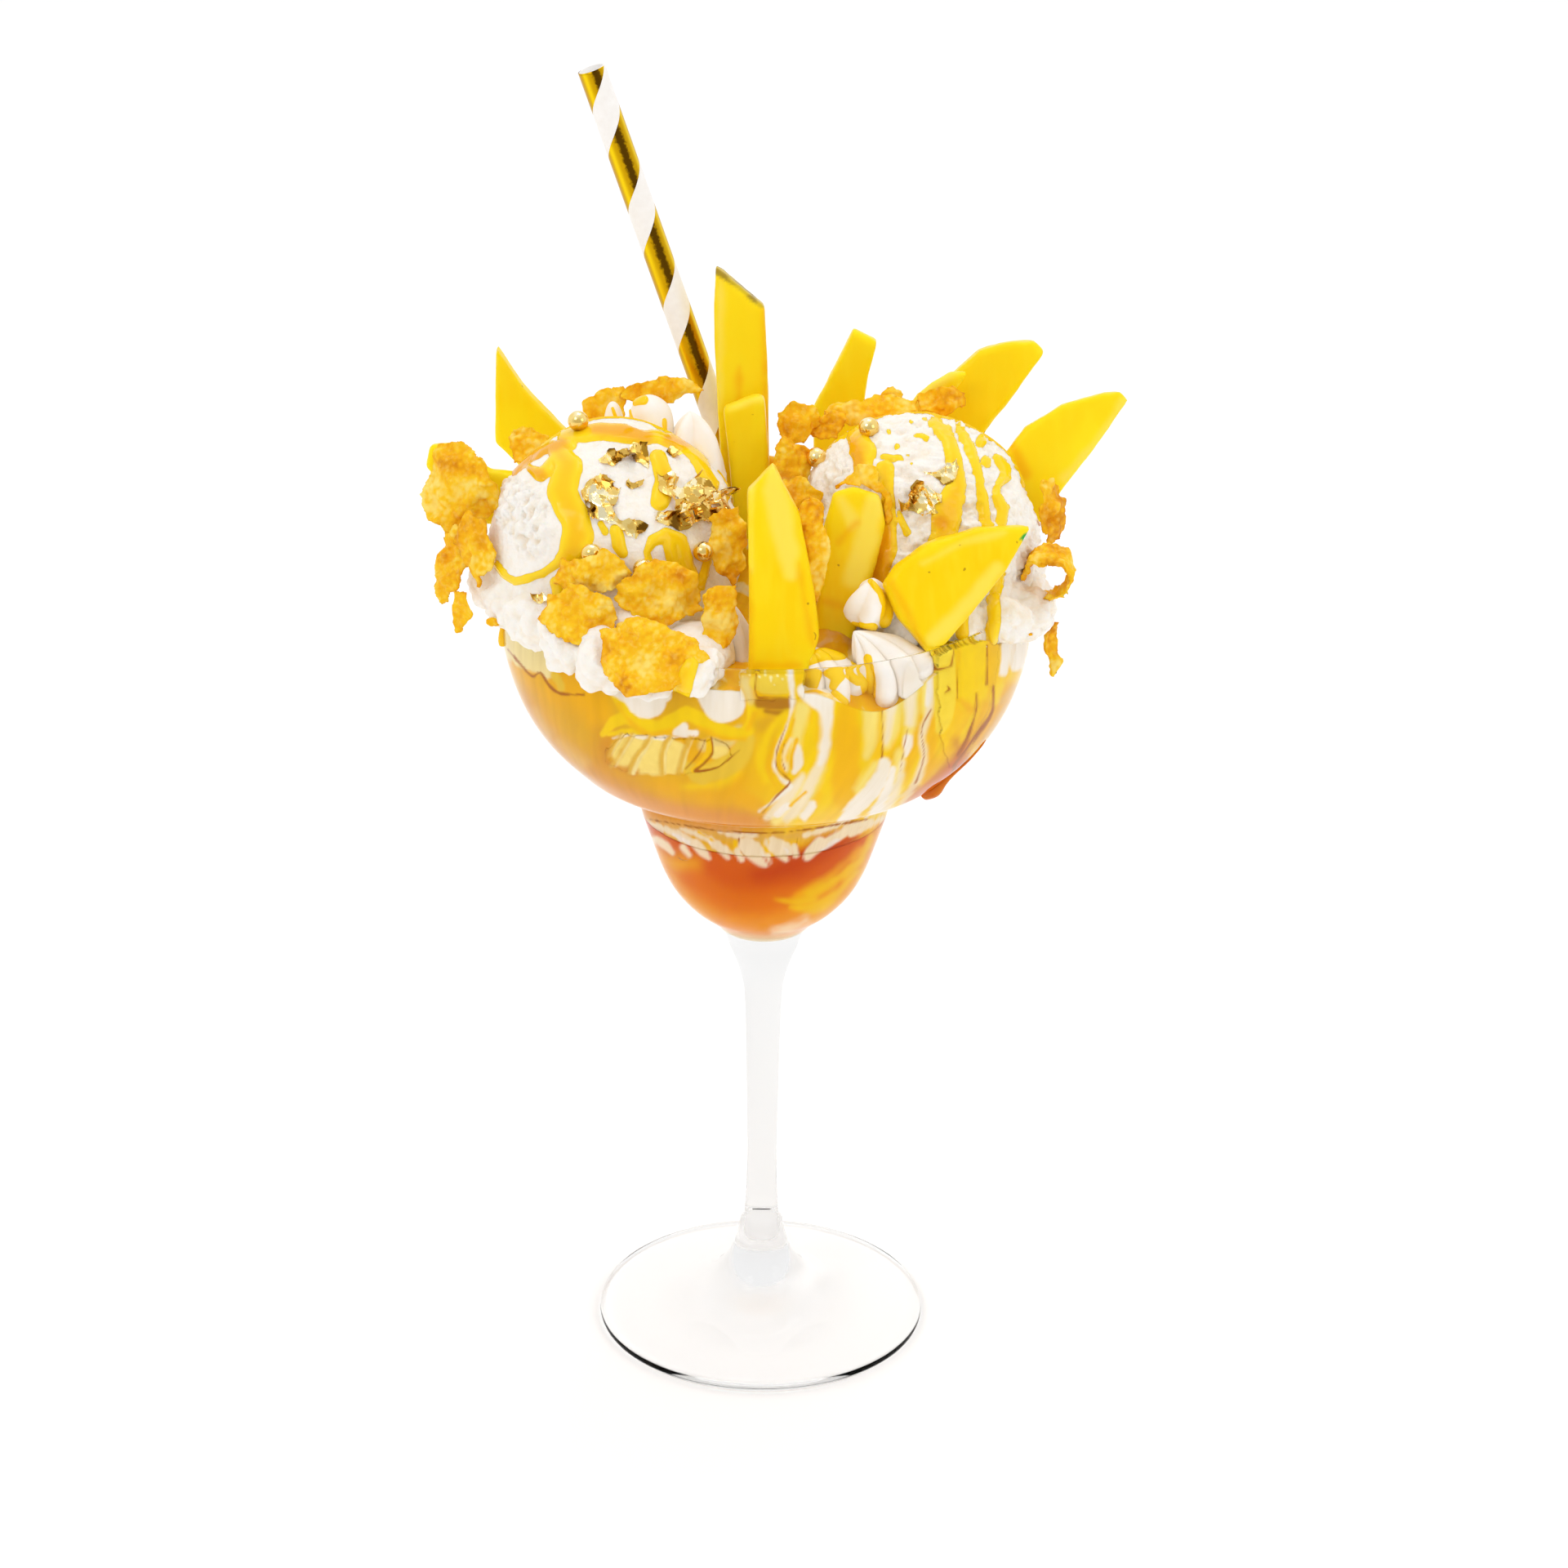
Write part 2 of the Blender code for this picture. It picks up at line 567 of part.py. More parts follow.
def make_room(target, cutters):
    """Cuts the target round each cutter that its box meets, and takes back a cut that went wrong."""
    for cutter in cutters:
        if not meets(target, cutter):
            continue
        whole, before, most = target.data.copy(), volume(target), volume(cutter)
        for solver in ("EXACT", "MANIFOLD"):
            modifier = target.modifiers.new("room", "BOOLEAN")
            modifier.operation = "DIFFERENCE"
            modifier.object = cutter
            modifier.solver = solver
            apply_modifiers(target)
            doubt = before * VOLUME_DOUBT
            if before - most - doubt <= volume(target) <= before + doubt:
                break
            target.data = whole.copy()


def make_scoop(name, scoop, skirt, sauce, pearls):
    """A ball of ice cream with its skirt, thick sauce and sugar pearls fused on."""
    obj = ball(name, scoop, SCOOP_GRID, CRUMB, CRUMB_SCALE)
    parts = []
    for i, (angle, distance, height, wide, tall) in enumerate(skirt):
        spot = bearing(angle, 0) * distance
        lump = {"at": (spot.x, spot.y, height), "half": (wide, wide, tall), "seed": i + 1}
        parts.append(ball(f"{name}_lump_{i}", lump, LUMP_GRID, LUMP_CRUMB, LUMP_SCALE))
    for i, (width, height, path) in enumerate(sauce):
        parts.append(ribbon(f"{name}_sauce_{i}", scoop, width, height, path))
    for i, spot in enumerate(pearls):
        at = on_ball(scoop, bearing(*spot), rise=PEARL_RADIUS * PEARL_SHOWS)
        pearl = {"at": at, "half": [PEARL_RADIUS] * 3, "seed": 0}
        parts.append(ball(f"{name}_pearl_{i}", pearl, PEARL_GRID))
    join_all(obj, parts)
    fewer = obj.modifiers.new("fewer faces", "DECIMATE")
    fewer.ratio = SCOOP_FACES / len(obj.data.polygons)
    apply_modifiers(obj)
    return paint(obj, (0.93, 0.9, 0.85), 0.6)


def make_straw():
    """An open tube whose top is STRAW_TOP."""
    points = []
    rings = []
    inner = STRAW_RADIUS - STRAW_WALL
    for r, z in ((STRAW_RADIUS, -STRAW_LENGTH), (STRAW_RADIUS, 0), (inner, 0), (inner, -STRAW_LENGTH)):
        rings.append(list(range(len(points), len(points) + STRAW_SIDES)))
        points.extend(circle(r, z, STRAW_SIDES))
    obj = solid("straw", points, skin(rings + rings[:1], STRAW_SIDES))
    place(obj, STRAW_TOP, spin=STRAW_LEAN)
    return paint(obj, (0.85, 0.75, 0.45), 0.4)


def straw_room():
    """A solid rod round the straw, so that nothing fills its bore."""
    radius = STRAW_RADIUS + GAP
    end = -STRAW_LENGTH - GAP
    rod = turned("straw_room", [(0, GAP), (radius, GAP), (radius, end), (0, end)], STRAW_SIDES)
    place(rod, STRAW_TOP, spin=STRAW_LEAN)
    rod.hide_render = True
    rod.display_type = "WIRE"
    return rod


def make_mango(name):
    """A cut slice: an outline with thickness, whose long edges are slightly rounded."""
    at, turn, lean, (left, right), outline = MANGO[name]
    low = min(u for u, _ in outline)
    span = max(u for u, _ in outline) - low
    middle = Vector((sum(u for u, _ in outline), sum(v for _, v in outline))) / len(outline)
    points = []
    rings = []
    for side in (-1, 1):
        for inset in ((MANGO_EDGE, 0) if side < 0 else (0, MANGO_EDGE)):
            rings.append(list(range(len(points), len(points) + len(outline))))
            for u, v in outline:
                inward = (middle - Vector((u, v))).normalized() * inset
                half = (left + (right - left) * (u - low) / span) / 2
                depth = half if inset else half - MANGO_EDGE
                points.append((u + inward.x, side * depth, v + inward.y))
    faces = skin(rings, len(outline)) + [tuple(rings[0]), tuple(reversed(rings[-1]))]
    obj = solid(name, points, faces)
    place(obj, at, turn, lean)
    return paint(obj, (0.95, 0.6, 0.01), 0.35)


def make_meringue(name):
    """A piped drop: ridges run from its wide base and turn as they close on the tip."""
    base, tip, radius, ridges, twist, blunt = MERINGUE[name]
    base, tip = Vector(base), Vector(tip)
    axis = tip - base
    length = axis.length
    frame = axis.to_track_quat("Z", "Y").to_matrix()
    sides = 2 * ridges
    points = [base + axis * MERINGUE_FOOT]
    rings = [[0]]
    for share in MERINGUE_RINGS:
        swell = MERINGUE_TUCK if share < 0 else (1 - share**blunt) ** MERINGUE_FULLNESS
        rings.append(list(range(len(points), len(points) + sides)))
        for i in range(sides):
            angle = math.tau * i / sides + math.radians(twist) * share
            r = radius * swell * (1 + RIDGE * (1 if i % 2 else -1))
            spot = Vector((r * math.cos(angle), r * math.sin(angle), length * share))
            points.append(base + frame @ spot)
    rings.append([len(points)])
    points.append(tip)
    obj = solid(name, points, skin(rings, sides), smooth=False)
    return paint(obj, (0.93, 0.88, 0.82), 0.6)


def make_flake(name):
    """A thin toasted flake: an uneven rounded outline, wavy, and bent round its own length."""
    at, width, length, turn, lean, spin, bend, seed = FLAKES[name]
    curled = width / bend > FLAKE_WRAP
    sides = FLAKE_SIDES * 2 if curled else FLAKE_SIDES
    inner = (0, 0.35, 0.7) if curled else (0, FLAKE_RING)
    draw = random.Random(seed)
    waves = [(draw.uniform(0.5, 1.0), draw.uniform(0, math.tau), k) for k in (2, 3, 5)]
    shift = Vector((draw.uniform(0, 50), draw.uniform(0, 50), 0))

    def spot(angle, share, face):
        edge = 1 + sum(FLAKE_RAGGED * size * math.sin(k * angle + phase) for size, phase, k in waves)
        u = share * edge * width / 2 * math.cos(angle)
        v = share * edge * length / 2 * math.sin(angle)
        wave = FLAKE_WAVE * min(width, length) * noise.noise(Vector((u, v, 0)) / FLAKE_WAVE_SIZE + shift)
        out = wave + face * FLAKE_THICKNESS / 2 * (FLAKE_EDGE if share == 1 else 1)
        turn_by = u / bend
        reach_by = bend + out
        return (reach_by * math.sin(turn_by), bend - reach_by * math.cos(turn_by), v)

    points = []
    rings = []
    for face, shares in ((1, (*inner, 1)), (-1, (1, *inner[::-1]))):
        for share in shares:
            count = 1 if share == 0 else sides
            rings.append(list(range(len(points), len(points) + count)))
            for i in range(count):
                points.append(spot(math.tau * i / sides, share, face))
    obj = solid(name, points, skin(rings, sides))
    place(obj, at, turn, lean, spin)
    return paint(obj, (0.85, 0.42, 0.04), 0.7)


def rim_room():
    """A ring round the glass wall above the shoulder, where scoops and fruit may touch it."""
    outside = offset(WIDE_BOWL[2:] + BOWL_SIDE, -GAP)
    inside = offset([spot for spot in inner_path() if spot[1] > WIDE_BOWL[2][1]], GAP)
    lip = [(RIM_RADIUS + GAP, RIM_HEIGHT + GAP), (RIM_RADIUS - WALL, RIM_HEIGHT + GAP)]
    profile = outside + lip + inside[::-1]
    points = []
    rings = []
    for r, z in profile:
        rings.append(list(range(len(points), len(points) + GLASS_SIDES)))
        points.extend(circle(r, z, GLASS_SIDES))
    ring = solid("rim_room", points, skin(rings + rings[:1], GLASS_SIDES))
    ring.hide_render = True
    ring.display_type = "WIRE"
    return ring


def build():
    for obj in list(bpy.data.objects):
        bpy.data.objects.remove(obj)
    make_glass()
    make_straw()
    wall = rim_room()
    rooms = [wall, straw_room()]
    makers = [(MANGO, make_mango), (MERINGUE, make_meringue), (FLAKES, make_flake)]
    for table, make in makers:
        for name in table:
            piece = make(name)
            make_room(piece, rooms)
            rooms.append(grown(piece))
    make_syrup()
    filling = make_filling()
    bed = grown(filling)
    make_room(filling, rooms[1:])
    for name, shape, skirt, sauce, pearls in (
        ("scoop_left", LEFT_SCOOP, LEFT_SKIRT, LEFT_SAUCE, LEFT_PEARLS),
        ("scoop_right", RIGHT_SCOOP, RIGHT_SKIRT, RIGHT_SAUCE, RIGHT_PEARLS),
    ):
        scoop = make_scoop(name, shape, skirt, sauce, pearls)
        make_room(scoop, [bed, *rooms])
        rooms.append(grown(scoop))
    for room in [bed, *rooms]:
        bpy.data.objects.remove(room)


build()
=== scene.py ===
"""Looks of the mango sundae: clear glass, marbled cream, icy scoops, cut fruit, toasted flakes, gold leaf.

Tables are in millimetres and in pixels of the photograph, 1920 on a side. Meshes are in metres.
+Z is up and the front of the dessert faces -Y."""
import math

import bmesh
import bpy
import numpy as np
from mathutils import Matrix, Vector
from mathutils.bvhtree import BVHTree


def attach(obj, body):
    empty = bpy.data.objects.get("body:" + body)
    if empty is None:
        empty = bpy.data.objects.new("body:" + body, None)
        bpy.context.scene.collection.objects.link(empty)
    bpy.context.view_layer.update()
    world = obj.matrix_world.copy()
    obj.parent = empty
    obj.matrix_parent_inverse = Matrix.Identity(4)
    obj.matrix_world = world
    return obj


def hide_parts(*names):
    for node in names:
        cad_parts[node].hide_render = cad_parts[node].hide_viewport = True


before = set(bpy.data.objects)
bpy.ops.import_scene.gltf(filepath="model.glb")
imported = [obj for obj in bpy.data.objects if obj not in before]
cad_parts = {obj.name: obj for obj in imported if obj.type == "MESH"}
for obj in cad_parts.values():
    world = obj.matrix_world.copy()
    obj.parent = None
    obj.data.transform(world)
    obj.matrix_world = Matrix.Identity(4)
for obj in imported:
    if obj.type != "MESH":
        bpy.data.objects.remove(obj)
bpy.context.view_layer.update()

MM = 0.001
BODY = "root"

# Camera: the photograph's own, in millimetres, degrees and pixels
PHOTO_SIZE = 1920
FOCAL_PX = 5031.0
SENSOR = 36.0
CAMERA_AT = np.array([4.26, -838.5, 501.4])
CAMERA_TILT = 23.62
CAMERA_ROLL = 0.58

# Light, in metres and watts: the sky behind and in front, and the place, size, power and colour of each lamp
WORLD_BRIGHT = 1.0
WORLD_DIM = 0.7
FLOOR_SIZE = 16.0
LIGHTS = {
    "key": ((-0.75, -0.95, 1.25), 0.6, 3.6, (1.0, 0.985, 0.96)),
    "fill": ((0.95, -0.75, 0.75), 0.6, 1.5, (1.0, 0.99, 0.97)),
    "top": ((0.1, 0.35, 1.4), 0.6, 2.0, (1.0, 1.0, 1.0))}
LIGHT_TARGET = (0.0, 0.0, 0.17)

# Glass, smooth outer outline as (height, radius), in two runs that meet at the shoulder's corner
WALL = 1.7
WIDE_BOWL = [
    (137.5, 29.6), (139.3, 33.6), (141, 38.0), (143, 41.9), (146, 45.2), (151, 49.7), (157, 53.4),
    (164, 56.1), (172, 57.8), (180, 57.6), (184.4, 57.5)]
STEM_AND_SMALL_BOWL = [
    (25, 4.1), (30, 3.7), (40, 3.35), (55, 3.6), (70, 3.85), (80, 4.15), (84, 4.4), (88, 5.1), (92, 6.4),
    (95.5, 7.8), (97.5, 8.4), (100, 9.6), (103, 12.5), (106, 16.2), (109, 19.0), (112, 21.1), (115, 22.6),
    (118, 23.8), (124, 25.8), (130, 27.7), (136, 29.1)]
FOOT = [
    (0.0, 0.0), (0.0, 18), (0.0, 36.5), (0.0, 36.8), (0.15, 37.2), (0.5, 37.6), (1.1, 37.75), (1.8, 37.65),
    (2.2, 37.4), (2.45, 37.0), (2.5, 36.6), (2.6, 35.8), (2.8, 33.5), (3.2, 30), (3.8, 26.3), (4.6, 22.6),
    (5.6, 19.2), (6.9, 15.9), (8.5, 13.2), (10.3, 11.0), (12.5, 9.1), (15, 7.5), (18, 6.25), (21.5, 5.3),
    (24.3, 4.9)]
BOWL_FLOOR = 99.8
RIM_TOP = 185.0
GLASS_LIP = [(RIM_TOP - 0.15, 57.2), (RIM_TOP, 56.65), (RIM_TOP - 0.15, 56.1)]
GLASS_SIDES, SYRUP_SIDES, SYRUP_ROWS = 160, 300, 60
# Painted shade: clear glass made greyer by height, most over the stem, as a share of 200 mm
GLASS_SHADE = [(0.02, 0.995), (0.06, 0.94), (0.16, 0.84), (0.48, 0.84), (0.53, 0.995)]
# How far what fills the glass reaches into its wall
REACH = 0.55

# What fills the glass: its ripple as rise and two wavelengths, its swells as place, width and rise
FILL_BOTTOM = 126.6
SYRUP_TOP = FILL_BOTTOM + 2.5
FILL_LEVEL = 180.0
FILL_RIPPLE = (1.2, 27.3, 33.1)
FILL_SWELLS = [
    ((2.0, 14.0), 13.0, 27.0), ((-2.0, 43.0), 7.5, -9.0), ((13.0, -35.0), 5.5, 7.0),
    ((22.0, -50.0), 6.5, -6.5)]
FRONT_SPAN, FRONT_COLUMNS, BACK_COLUMNS = 100.0, 440, 100
WALL_ROWS, TOP_ROWS = 140, 30
UNDER_ROWS = (0.3, 0.55, 0.72, 0.82, 0.89, 0.94, 0.97, 0.99)
# How the cream hangs: degrees for each millimetre below a height, and how its veins are drawn out
DRAPE_TWIST, DRAPE_FROM, DRAPE_STRETCH = 0.32, 168.0, 0.13
# Parts of the cream's skin
UNDER, SIDE, TOP = range(3)
# Heights under which the wall shows ruffles, and syrup that has drawn up at the right
RUFFLES_UNDER, SYRUP_UNDER = 132, 136
# Bearings between which the paint at the front gives way to veins
PAINT_ENDS = (76, 88)

# Colours as they show, red, green and blue up to 255
SEEN = {
    "white": (248, 241, 231), "cream": (246, 228, 190), "pale_yellow": (248, 222, 112),
    "yellow": (247, 191, 8), "bright": (248, 202, 6), "deep": (243, 178, 2), "olive": (224, 166, 32),
    "golden": (236, 168, 12), "amber": (212, 140, 36), "orange": (224, 140, 36), "rose": (226, 154, 96),
    "light_amber": (226, 172, 76), "film": (240, 220, 150), "haze": (232, 203, 122), "chunk": (232, 190, 56),
    "shade": (170, 112, 30), "crease_shade": (160, 90, 12), "plate": (250, 216, 60), "plate_bright": (250, 208, 10),
    "rib": (250, 220, 116), "rib_highlight": (252, 230, 150), "rib_shade": (222, 172, 62),
    "ruffle": (244, 186, 60), "pane": (240, 204, 66), "drip": (206, 110, 26), "bead_glint": (254, 238, 160),
    "syrup_shaded_core": (188, 66, 8), "syrup_red": (206, 86, 6), "syrup_mid": (219, 106, 4),
    "syrup_low": (234, 138, 16), "syrup_gold": (236, 158, 10), "syrup_swirl": (240, 184, 4),
    "syrup_foot": (250, 220, 172)}
# How much light glass gives back to what is pressed against it, how much it lets through, and its own shine
TRAPPED, LET_THROUGH, SHINE = 0.31, 0.68, 0.008
# Colours that more than one material has, as shares of light
WHITE, YELLOW, DEEP_YELLOW = (1.0, 1.0, 1.0), (0.95, 0.61, 0.004), (0.93, 0.53, 0.003)
# Where sauce ends on ice cream and meringue
SAUCE_EDGE = [(0.46, 0.0), (0.54, 1.0)]
MARBLE_VEINS = [
    (0.30, "deep"), (0.42, "yellow"), (0.47, "pale_yellow"), (0.50, "cream"), (0.58, "white"),
    (0.61, "pale_yellow"), (0.64, "yellow")]

# Paint on the wall of the wide bowl, in the order it is laid: colour, softness in pixels, and strokes, each a
# run of (x, y, half width) in pixels
WALL_PAINT = [
    ("golden", 12, [[(696, 846, 12), (730, 862, 14), (736, 879, 10)]]),
    ("amber", 20, [
        [(646, 851, 3), (664, 893, 10), (700, 933, 15), (740, 950, 14), (800, 985, 14), (870, 1000, 12),
         (940, 1004, 8)],
        [(742, 900, 6), (735, 925, 6), (742, 945, 6)]]),
    ("orange", 12, [[(735, 966, 10), (790, 987, 13), (860, 997, 12), (930, 1003, 8)]]),
    ("rose", 7, [[(700, 965, 2), (760, 995, 4), (830, 1011, 5), (900, 1017, 4)]]),
    ("light_amber", 8, [[(688, 905, 3), (716, 932, 6)], [(660, 868, 2), (676, 895, 4)]]),
    ("golden", 10, [[(795, 958, 6), (840, 968, 11), (890, 970, 11), (905, 950, 8)]]),
    ("bright", 7, [[(838, 962, 3), (880, 958, 6), (902, 945, 5)]]),
    ("chunk", 3, [[(842, 938, 8), (862, 948, 12), (900, 930, 14), (914, 905, 9)]]),
    ("haze", 4, [[(862, 912, 7), (885, 908, 11), (905, 893, 7)]]),
    ("film", 2.5, [
        [(614, 780, 9), (632, 790, 15), (650, 806, 14), (668, 816, 10)], [(668, 800, 12), (672, 826, 5)]]),
    ("golden", 2.5, [[(690, 818, 11), (702, 832, 12), (712, 842, 6)]]),
    ("chunk", 2, [[(681, 826, 4), (688, 842, 4)], [(716, 818, 3), (718, 838, 3)]]),
    ("rib", 2, [[(770, 922, 20), (800, 925, 22), (822, 925, 21)], [(876, 920, 8), (886, 918, 6)]]),
    ("amber", 4, [[(746, 905, 5), (744, 925, 4), (750, 936, 3), (778, 944, 4)]]),
    ("bright", 1.5, [
        [(753, 846, 6), (769, 870, 8), (791, 887, 9), (809, 891, 9), (826, 881, 9), (842, 873, 9),
         (861, 882, 9), (885, 894, 9), (909, 897, 8), (921, 882, 7), (919, 862, 6)],
        [(741, 897, 4), (752, 884, 7), (768, 878, 8), (785, 885, 9)],
        [(745, 898, 2.5), (770, 895, 4), (800, 897, 4)]]),
    # Painted shadow: darker lines under the bright swoosh and its lobes
    ("deep", 2.5, [
        [(758, 862, 2), (774, 885, 3), (796, 899, 3), (822, 894, 3)],
        [(856, 890, 3), (884, 903, 3), (912, 904, 3)], [(915, 892, 3), (924, 874, 3)]]),
    ("white", 1.5, [
        [(838, 890, 5), (828, 897, 3.8), (852, 897, 5)],
        [(752, 903, 1.3), (768, 900, 1.6), (800, 903, 1.6), (830, 902, 1.4)],
        [(748, 842, 6), (768, 853, 8), (790, 862, 17), (802, 860, 14)], [(800, 848, 15), (814, 850, 9)],
        [(866, 846, 15), (885, 857, 26), (892, 862, 21)], [(858, 845, 9)]]),
    ("haze", 5, [[(912, 834, 8), (918, 856, 6)]]),
    ("pane", 2.5, [[(926, 836, 9), (945, 838, 13), (962, 838, 12)]]),
    ("shade", 3, [
        [(930, 860, 6), (948, 862, 9), (965, 861, 8)], [(938, 870, 4), (952, 873, 5), (962, 870, 4)]]),
    ("olive", 5, [[(934, 888, 9), (946, 884, 9), (938, 910, 7)]]),
    ("golden", 5, [[(908, 975, 8), (930, 985, 8)], [(938, 930, 5), (940, 948, 5)]]),
    ("bright", 4, [
        [(962, 872, 4), (948, 887, 5), (938, 905, 6), (932, 930, 6), (939, 952, 6)],
        [(985, 892, 8), (990, 920, 8), (984, 948, 7)], [(1058, 880, 9), (1060, 930, 9), (1050, 962, 8)],
        [(1022, 880, 5), (1018, 930, 6), (1010, 965, 5)], [(1090, 920, 6), (1086, 950, 4)]]),
    ("deep", 5, [
        [(1036, 872, 12), (1036, 905, 15), (1035, 940, 16), (1033, 966, 15), (1031, 975, 12)],
        [(1121, 860, 4), (1121, 897, 5), (1112, 930, 5), (1104, 955, 4)],
        [(1139, 880, 5), (1139, 925, 6), (1130, 955, 4)], [(1093, 900, 3), (1090, 930, 4)]]),
    ("pale_yellow", 5, [
        [(982, 868, 8), (975, 900, 6), (972, 935, 7)], [(1066, 872, 9), (1066, 905, 7), (1060, 925, 4)],
        [(1092, 862, 12), (1090, 890, 10), (1086, 912, 5)],
        [(1114, 845, 11), (1114, 880, 8), (1110, 905, 4)],
        [(1006, 940, 7), (990, 965, 9), (972, 990, 8), (950, 1002, 5)], [(1070, 935, 5), (1050, 965, 5)],
        [(1101, 922, 7), (1097, 955, 8), (1086, 980, 7), (1068, 996, 5)], [(1134, 840, 7), (1132, 870, 5)],
        [(986, 958, 6), (968, 978, 8), (948, 996, 6)]]),
    ("cream", 3.5, [
        [(1012, 858, 9), (1011, 895, 6.5), (1006, 930, 6.5), (992, 957, 7), (980, 981, 7), (962, 999, 4)],
        [(982, 950, 5), (966, 972, 7), (950, 988, 6), (938, 998, 3)],
        [(1090, 864, 7), (1087, 890, 5), (1084, 908, 3)], [(1115, 848, 6), (1113, 885, 5)],
        [(1104, 932, 4.5), (1096, 962, 5), (1081, 988, 4)],
        [(1138, 823, 3), (1137, 867, 4), (1127, 900, 4.5), (1130, 925, 4.5), (1119, 958, 4.5),
         (1103, 979, 4)],
        [(968, 905, 3), (960, 925, 3.5), (962, 942, 3)]]),
    ("white", 2.2, [
        [(984, 845, 9), (1000, 852, 14), (1011, 868, 9), (1012, 890, 5.5)],
        [(1012, 885, 5), (1010, 910, 5), (1004, 934, 4)],
        [(968, 826, 4), (970, 850, 4), (969, 868, 3), (962, 893, 2.3), (952, 914, 2.3), (948, 936, 2.3),
         (956, 952, 3), (968, 961, 3), (956, 972, 3), (941, 983, 2.5), (930, 990, 2)],
        [(975, 916, 5), (977, 932, 6), (973, 944, 4)], [(1111, 903, 6), (1111, 912, 6.5), (1108, 924, 3)],
        [(1083, 934, 8), (1078, 950, 9.5), (1064, 968, 10), (1046, 985, 9), (1028, 1000, 4)],
        [(1092, 940, 5), (1086, 962, 6), (1073, 984, 6), (1058, 998, 3)], [(964, 984, 4), (952, 994, 3)],
        [(994, 983, 5), (984, 997, 4)], [(1137, 806, 2), (1137, 840, 3), (1134, 862, 2.5)]]),
    ("deep", 1.5, [
        [(972, 880, 1.5), (966, 900, 2.5), (957, 916, 2.5), (954, 934, 2.5), (962, 948, 3)],
        [(950, 905, 2), (943, 925, 3), (941, 945, 3), (950, 960, 2)],
        [(975, 905, 2), (969, 925, 2.5), (969, 940, 2)], [(986, 968, 1.5), (968, 984, 2)]]),
    # Painted shade: dark lines along the folds and creases
    ("crease_shade", 1, [
        [(967, 878, 0.6), (958, 900, 1), (951, 920, 1.2), (951, 938, 1.2), (962, 950, 1.3), (967, 957, 1.3),
         (952, 972, 1.2), (934, 992, 1)],
        [(962, 905, 0.5), (957, 925, 0.9), (961, 941, 0.9)],
        [(1079.5, 862, 0.3), (1080, 900, 0.7), (1079, 926, 0.9)],
        [(1139, 868, 0.6), (1127, 892, 0.8), (1130, 925, 0.8), (1119, 956, 0.7)],
        [(1110, 892, 0.5), (1101, 942, 0.9)],
        [(926, 826, 0.7), (926, 852, 0.9), (945, 853, 1.1), (966, 853, 0.9)]]),
    # Drops on the glass, with painted glints that make them bright dots
    ("bead_glint", 0.8, [
        [(930, 828, 1.6)], [(937, 826, 1.2)], [(944, 829, 2), (944, 834, 1)], [(952, 827, 1.8)],
        [(958, 831, 1.4)], [(918, 826, 1.4)], [(910, 828, 1.2)], [(948, 838, 1)], [(963, 826, 1.5)]]),
    ("plate", 1.2, [
        [(1152, 806, 11), (1156, 850, 13), (1155, 875, 11), (1150, 893, 6)],
        [(1162, 800, 7), (1163, 850, 8)]]),
    ("plate_bright", 1.5, [
        [(1184, 794, 9), (1182, 830, 11), (1181, 860, 10)], [(1202, 790, 9), (1202, 830, 8), (1198, 850, 6)],
        [(1195, 868, 5), (1180, 905, 8)]]),
    ("deep", 5, [[(1176, 858, 4), (1187, 868, 5)], [(1206, 862, 4), (1190, 892, 4), (1172, 915, 4)]]),
    ("amber", 8, [[(1168, 905, 3), (1172, 925, 9), (1154, 945, 12), (1136, 964, 10), (1112, 984, 6)]]),
    ("drip", 6, [[(1184, 908, 3), (1170, 930, 7), (1154, 950, 9), (1138, 968, 9), (1118, 986, 5)]]),
    ("amber", 5, [[(1122, 962, 4), (1104, 982, 4)]]),
    ("rose", 6, [[(1165, 958, 3), (1130, 984, 5), (1080, 1005, 4)]]),
    ("syrup_red", 6, [[(1174, 932, 2), (1161, 945, 6), (1147, 957, 8), (1130, 968, 8), (1112, 979, 4)]]),
    ("golden", 6, [[(1235, 845, 10), (1215, 880, 9), (1196, 905, 8)]]),
    ("light_amber", 3, [[(1228, 862, 2), (1204, 902, 3)], [(1240, 838, 3), (1222, 858, 3)]]),
    ("plate_bright", 2, [[(1222, 838, 3), (1216, 858, 3)], [(1206, 915, 1.5), (1190, 935, 2)]]),
    ("white", 2, [
        [(1227, 776, 9), (1226, 800, 9), (1224, 820, 7)],
        [(1245, 776, 14), (1244, 800, 13), (1240, 812, 8)]]),
    ("yellow", 1.5, [[(1216, 782, 8), (1216, 810, 8), (1213, 832, 6)]]),
    # Painted shade: dark lines along the folds and creases
    ("crease_shade", 0.9, [
        [(626, 794, 0.8), (650, 824, 1.4), (657, 827, 1.6), (664, 823, 1.3), (676, 840, 1.9),
         (690, 849, 1.6), (716, 850, 1.3)],
        [(1142, 821, 0.5), (1160, 817, 1), (1165, 812, 1.3), (1168, 795, 0.6)],
        [(1171, 800, 0.6), (1172, 855, 0.8)],
        [(1195, 849, 0.8), (1193, 872, 1.3), (1183, 902, 1.4), (1171, 923, 1)],
        [(1214, 839, 1), (1212, 868, 1.6), (1195, 896, 1.9), (1175, 923, 1.9), (1157, 949, 1.1)],
        [(1157, 848, 0.5), (1162, 844, 1.6), (1160, 840, 0.5)], [(1208, 790, 0.5), (1207, 838, 1.1)]]),
    ("rib_shade", 2.5, [
        [(762, 898, 2), (752, 912, 2.5), (746, 925, 2)], [(775, 898, 2), (764, 915, 2.5), (751, 936, 2.5)],
        [(797, 901, 2), (789, 915, 2.5), (781, 925, 2.5), (773, 943, 2.5)],
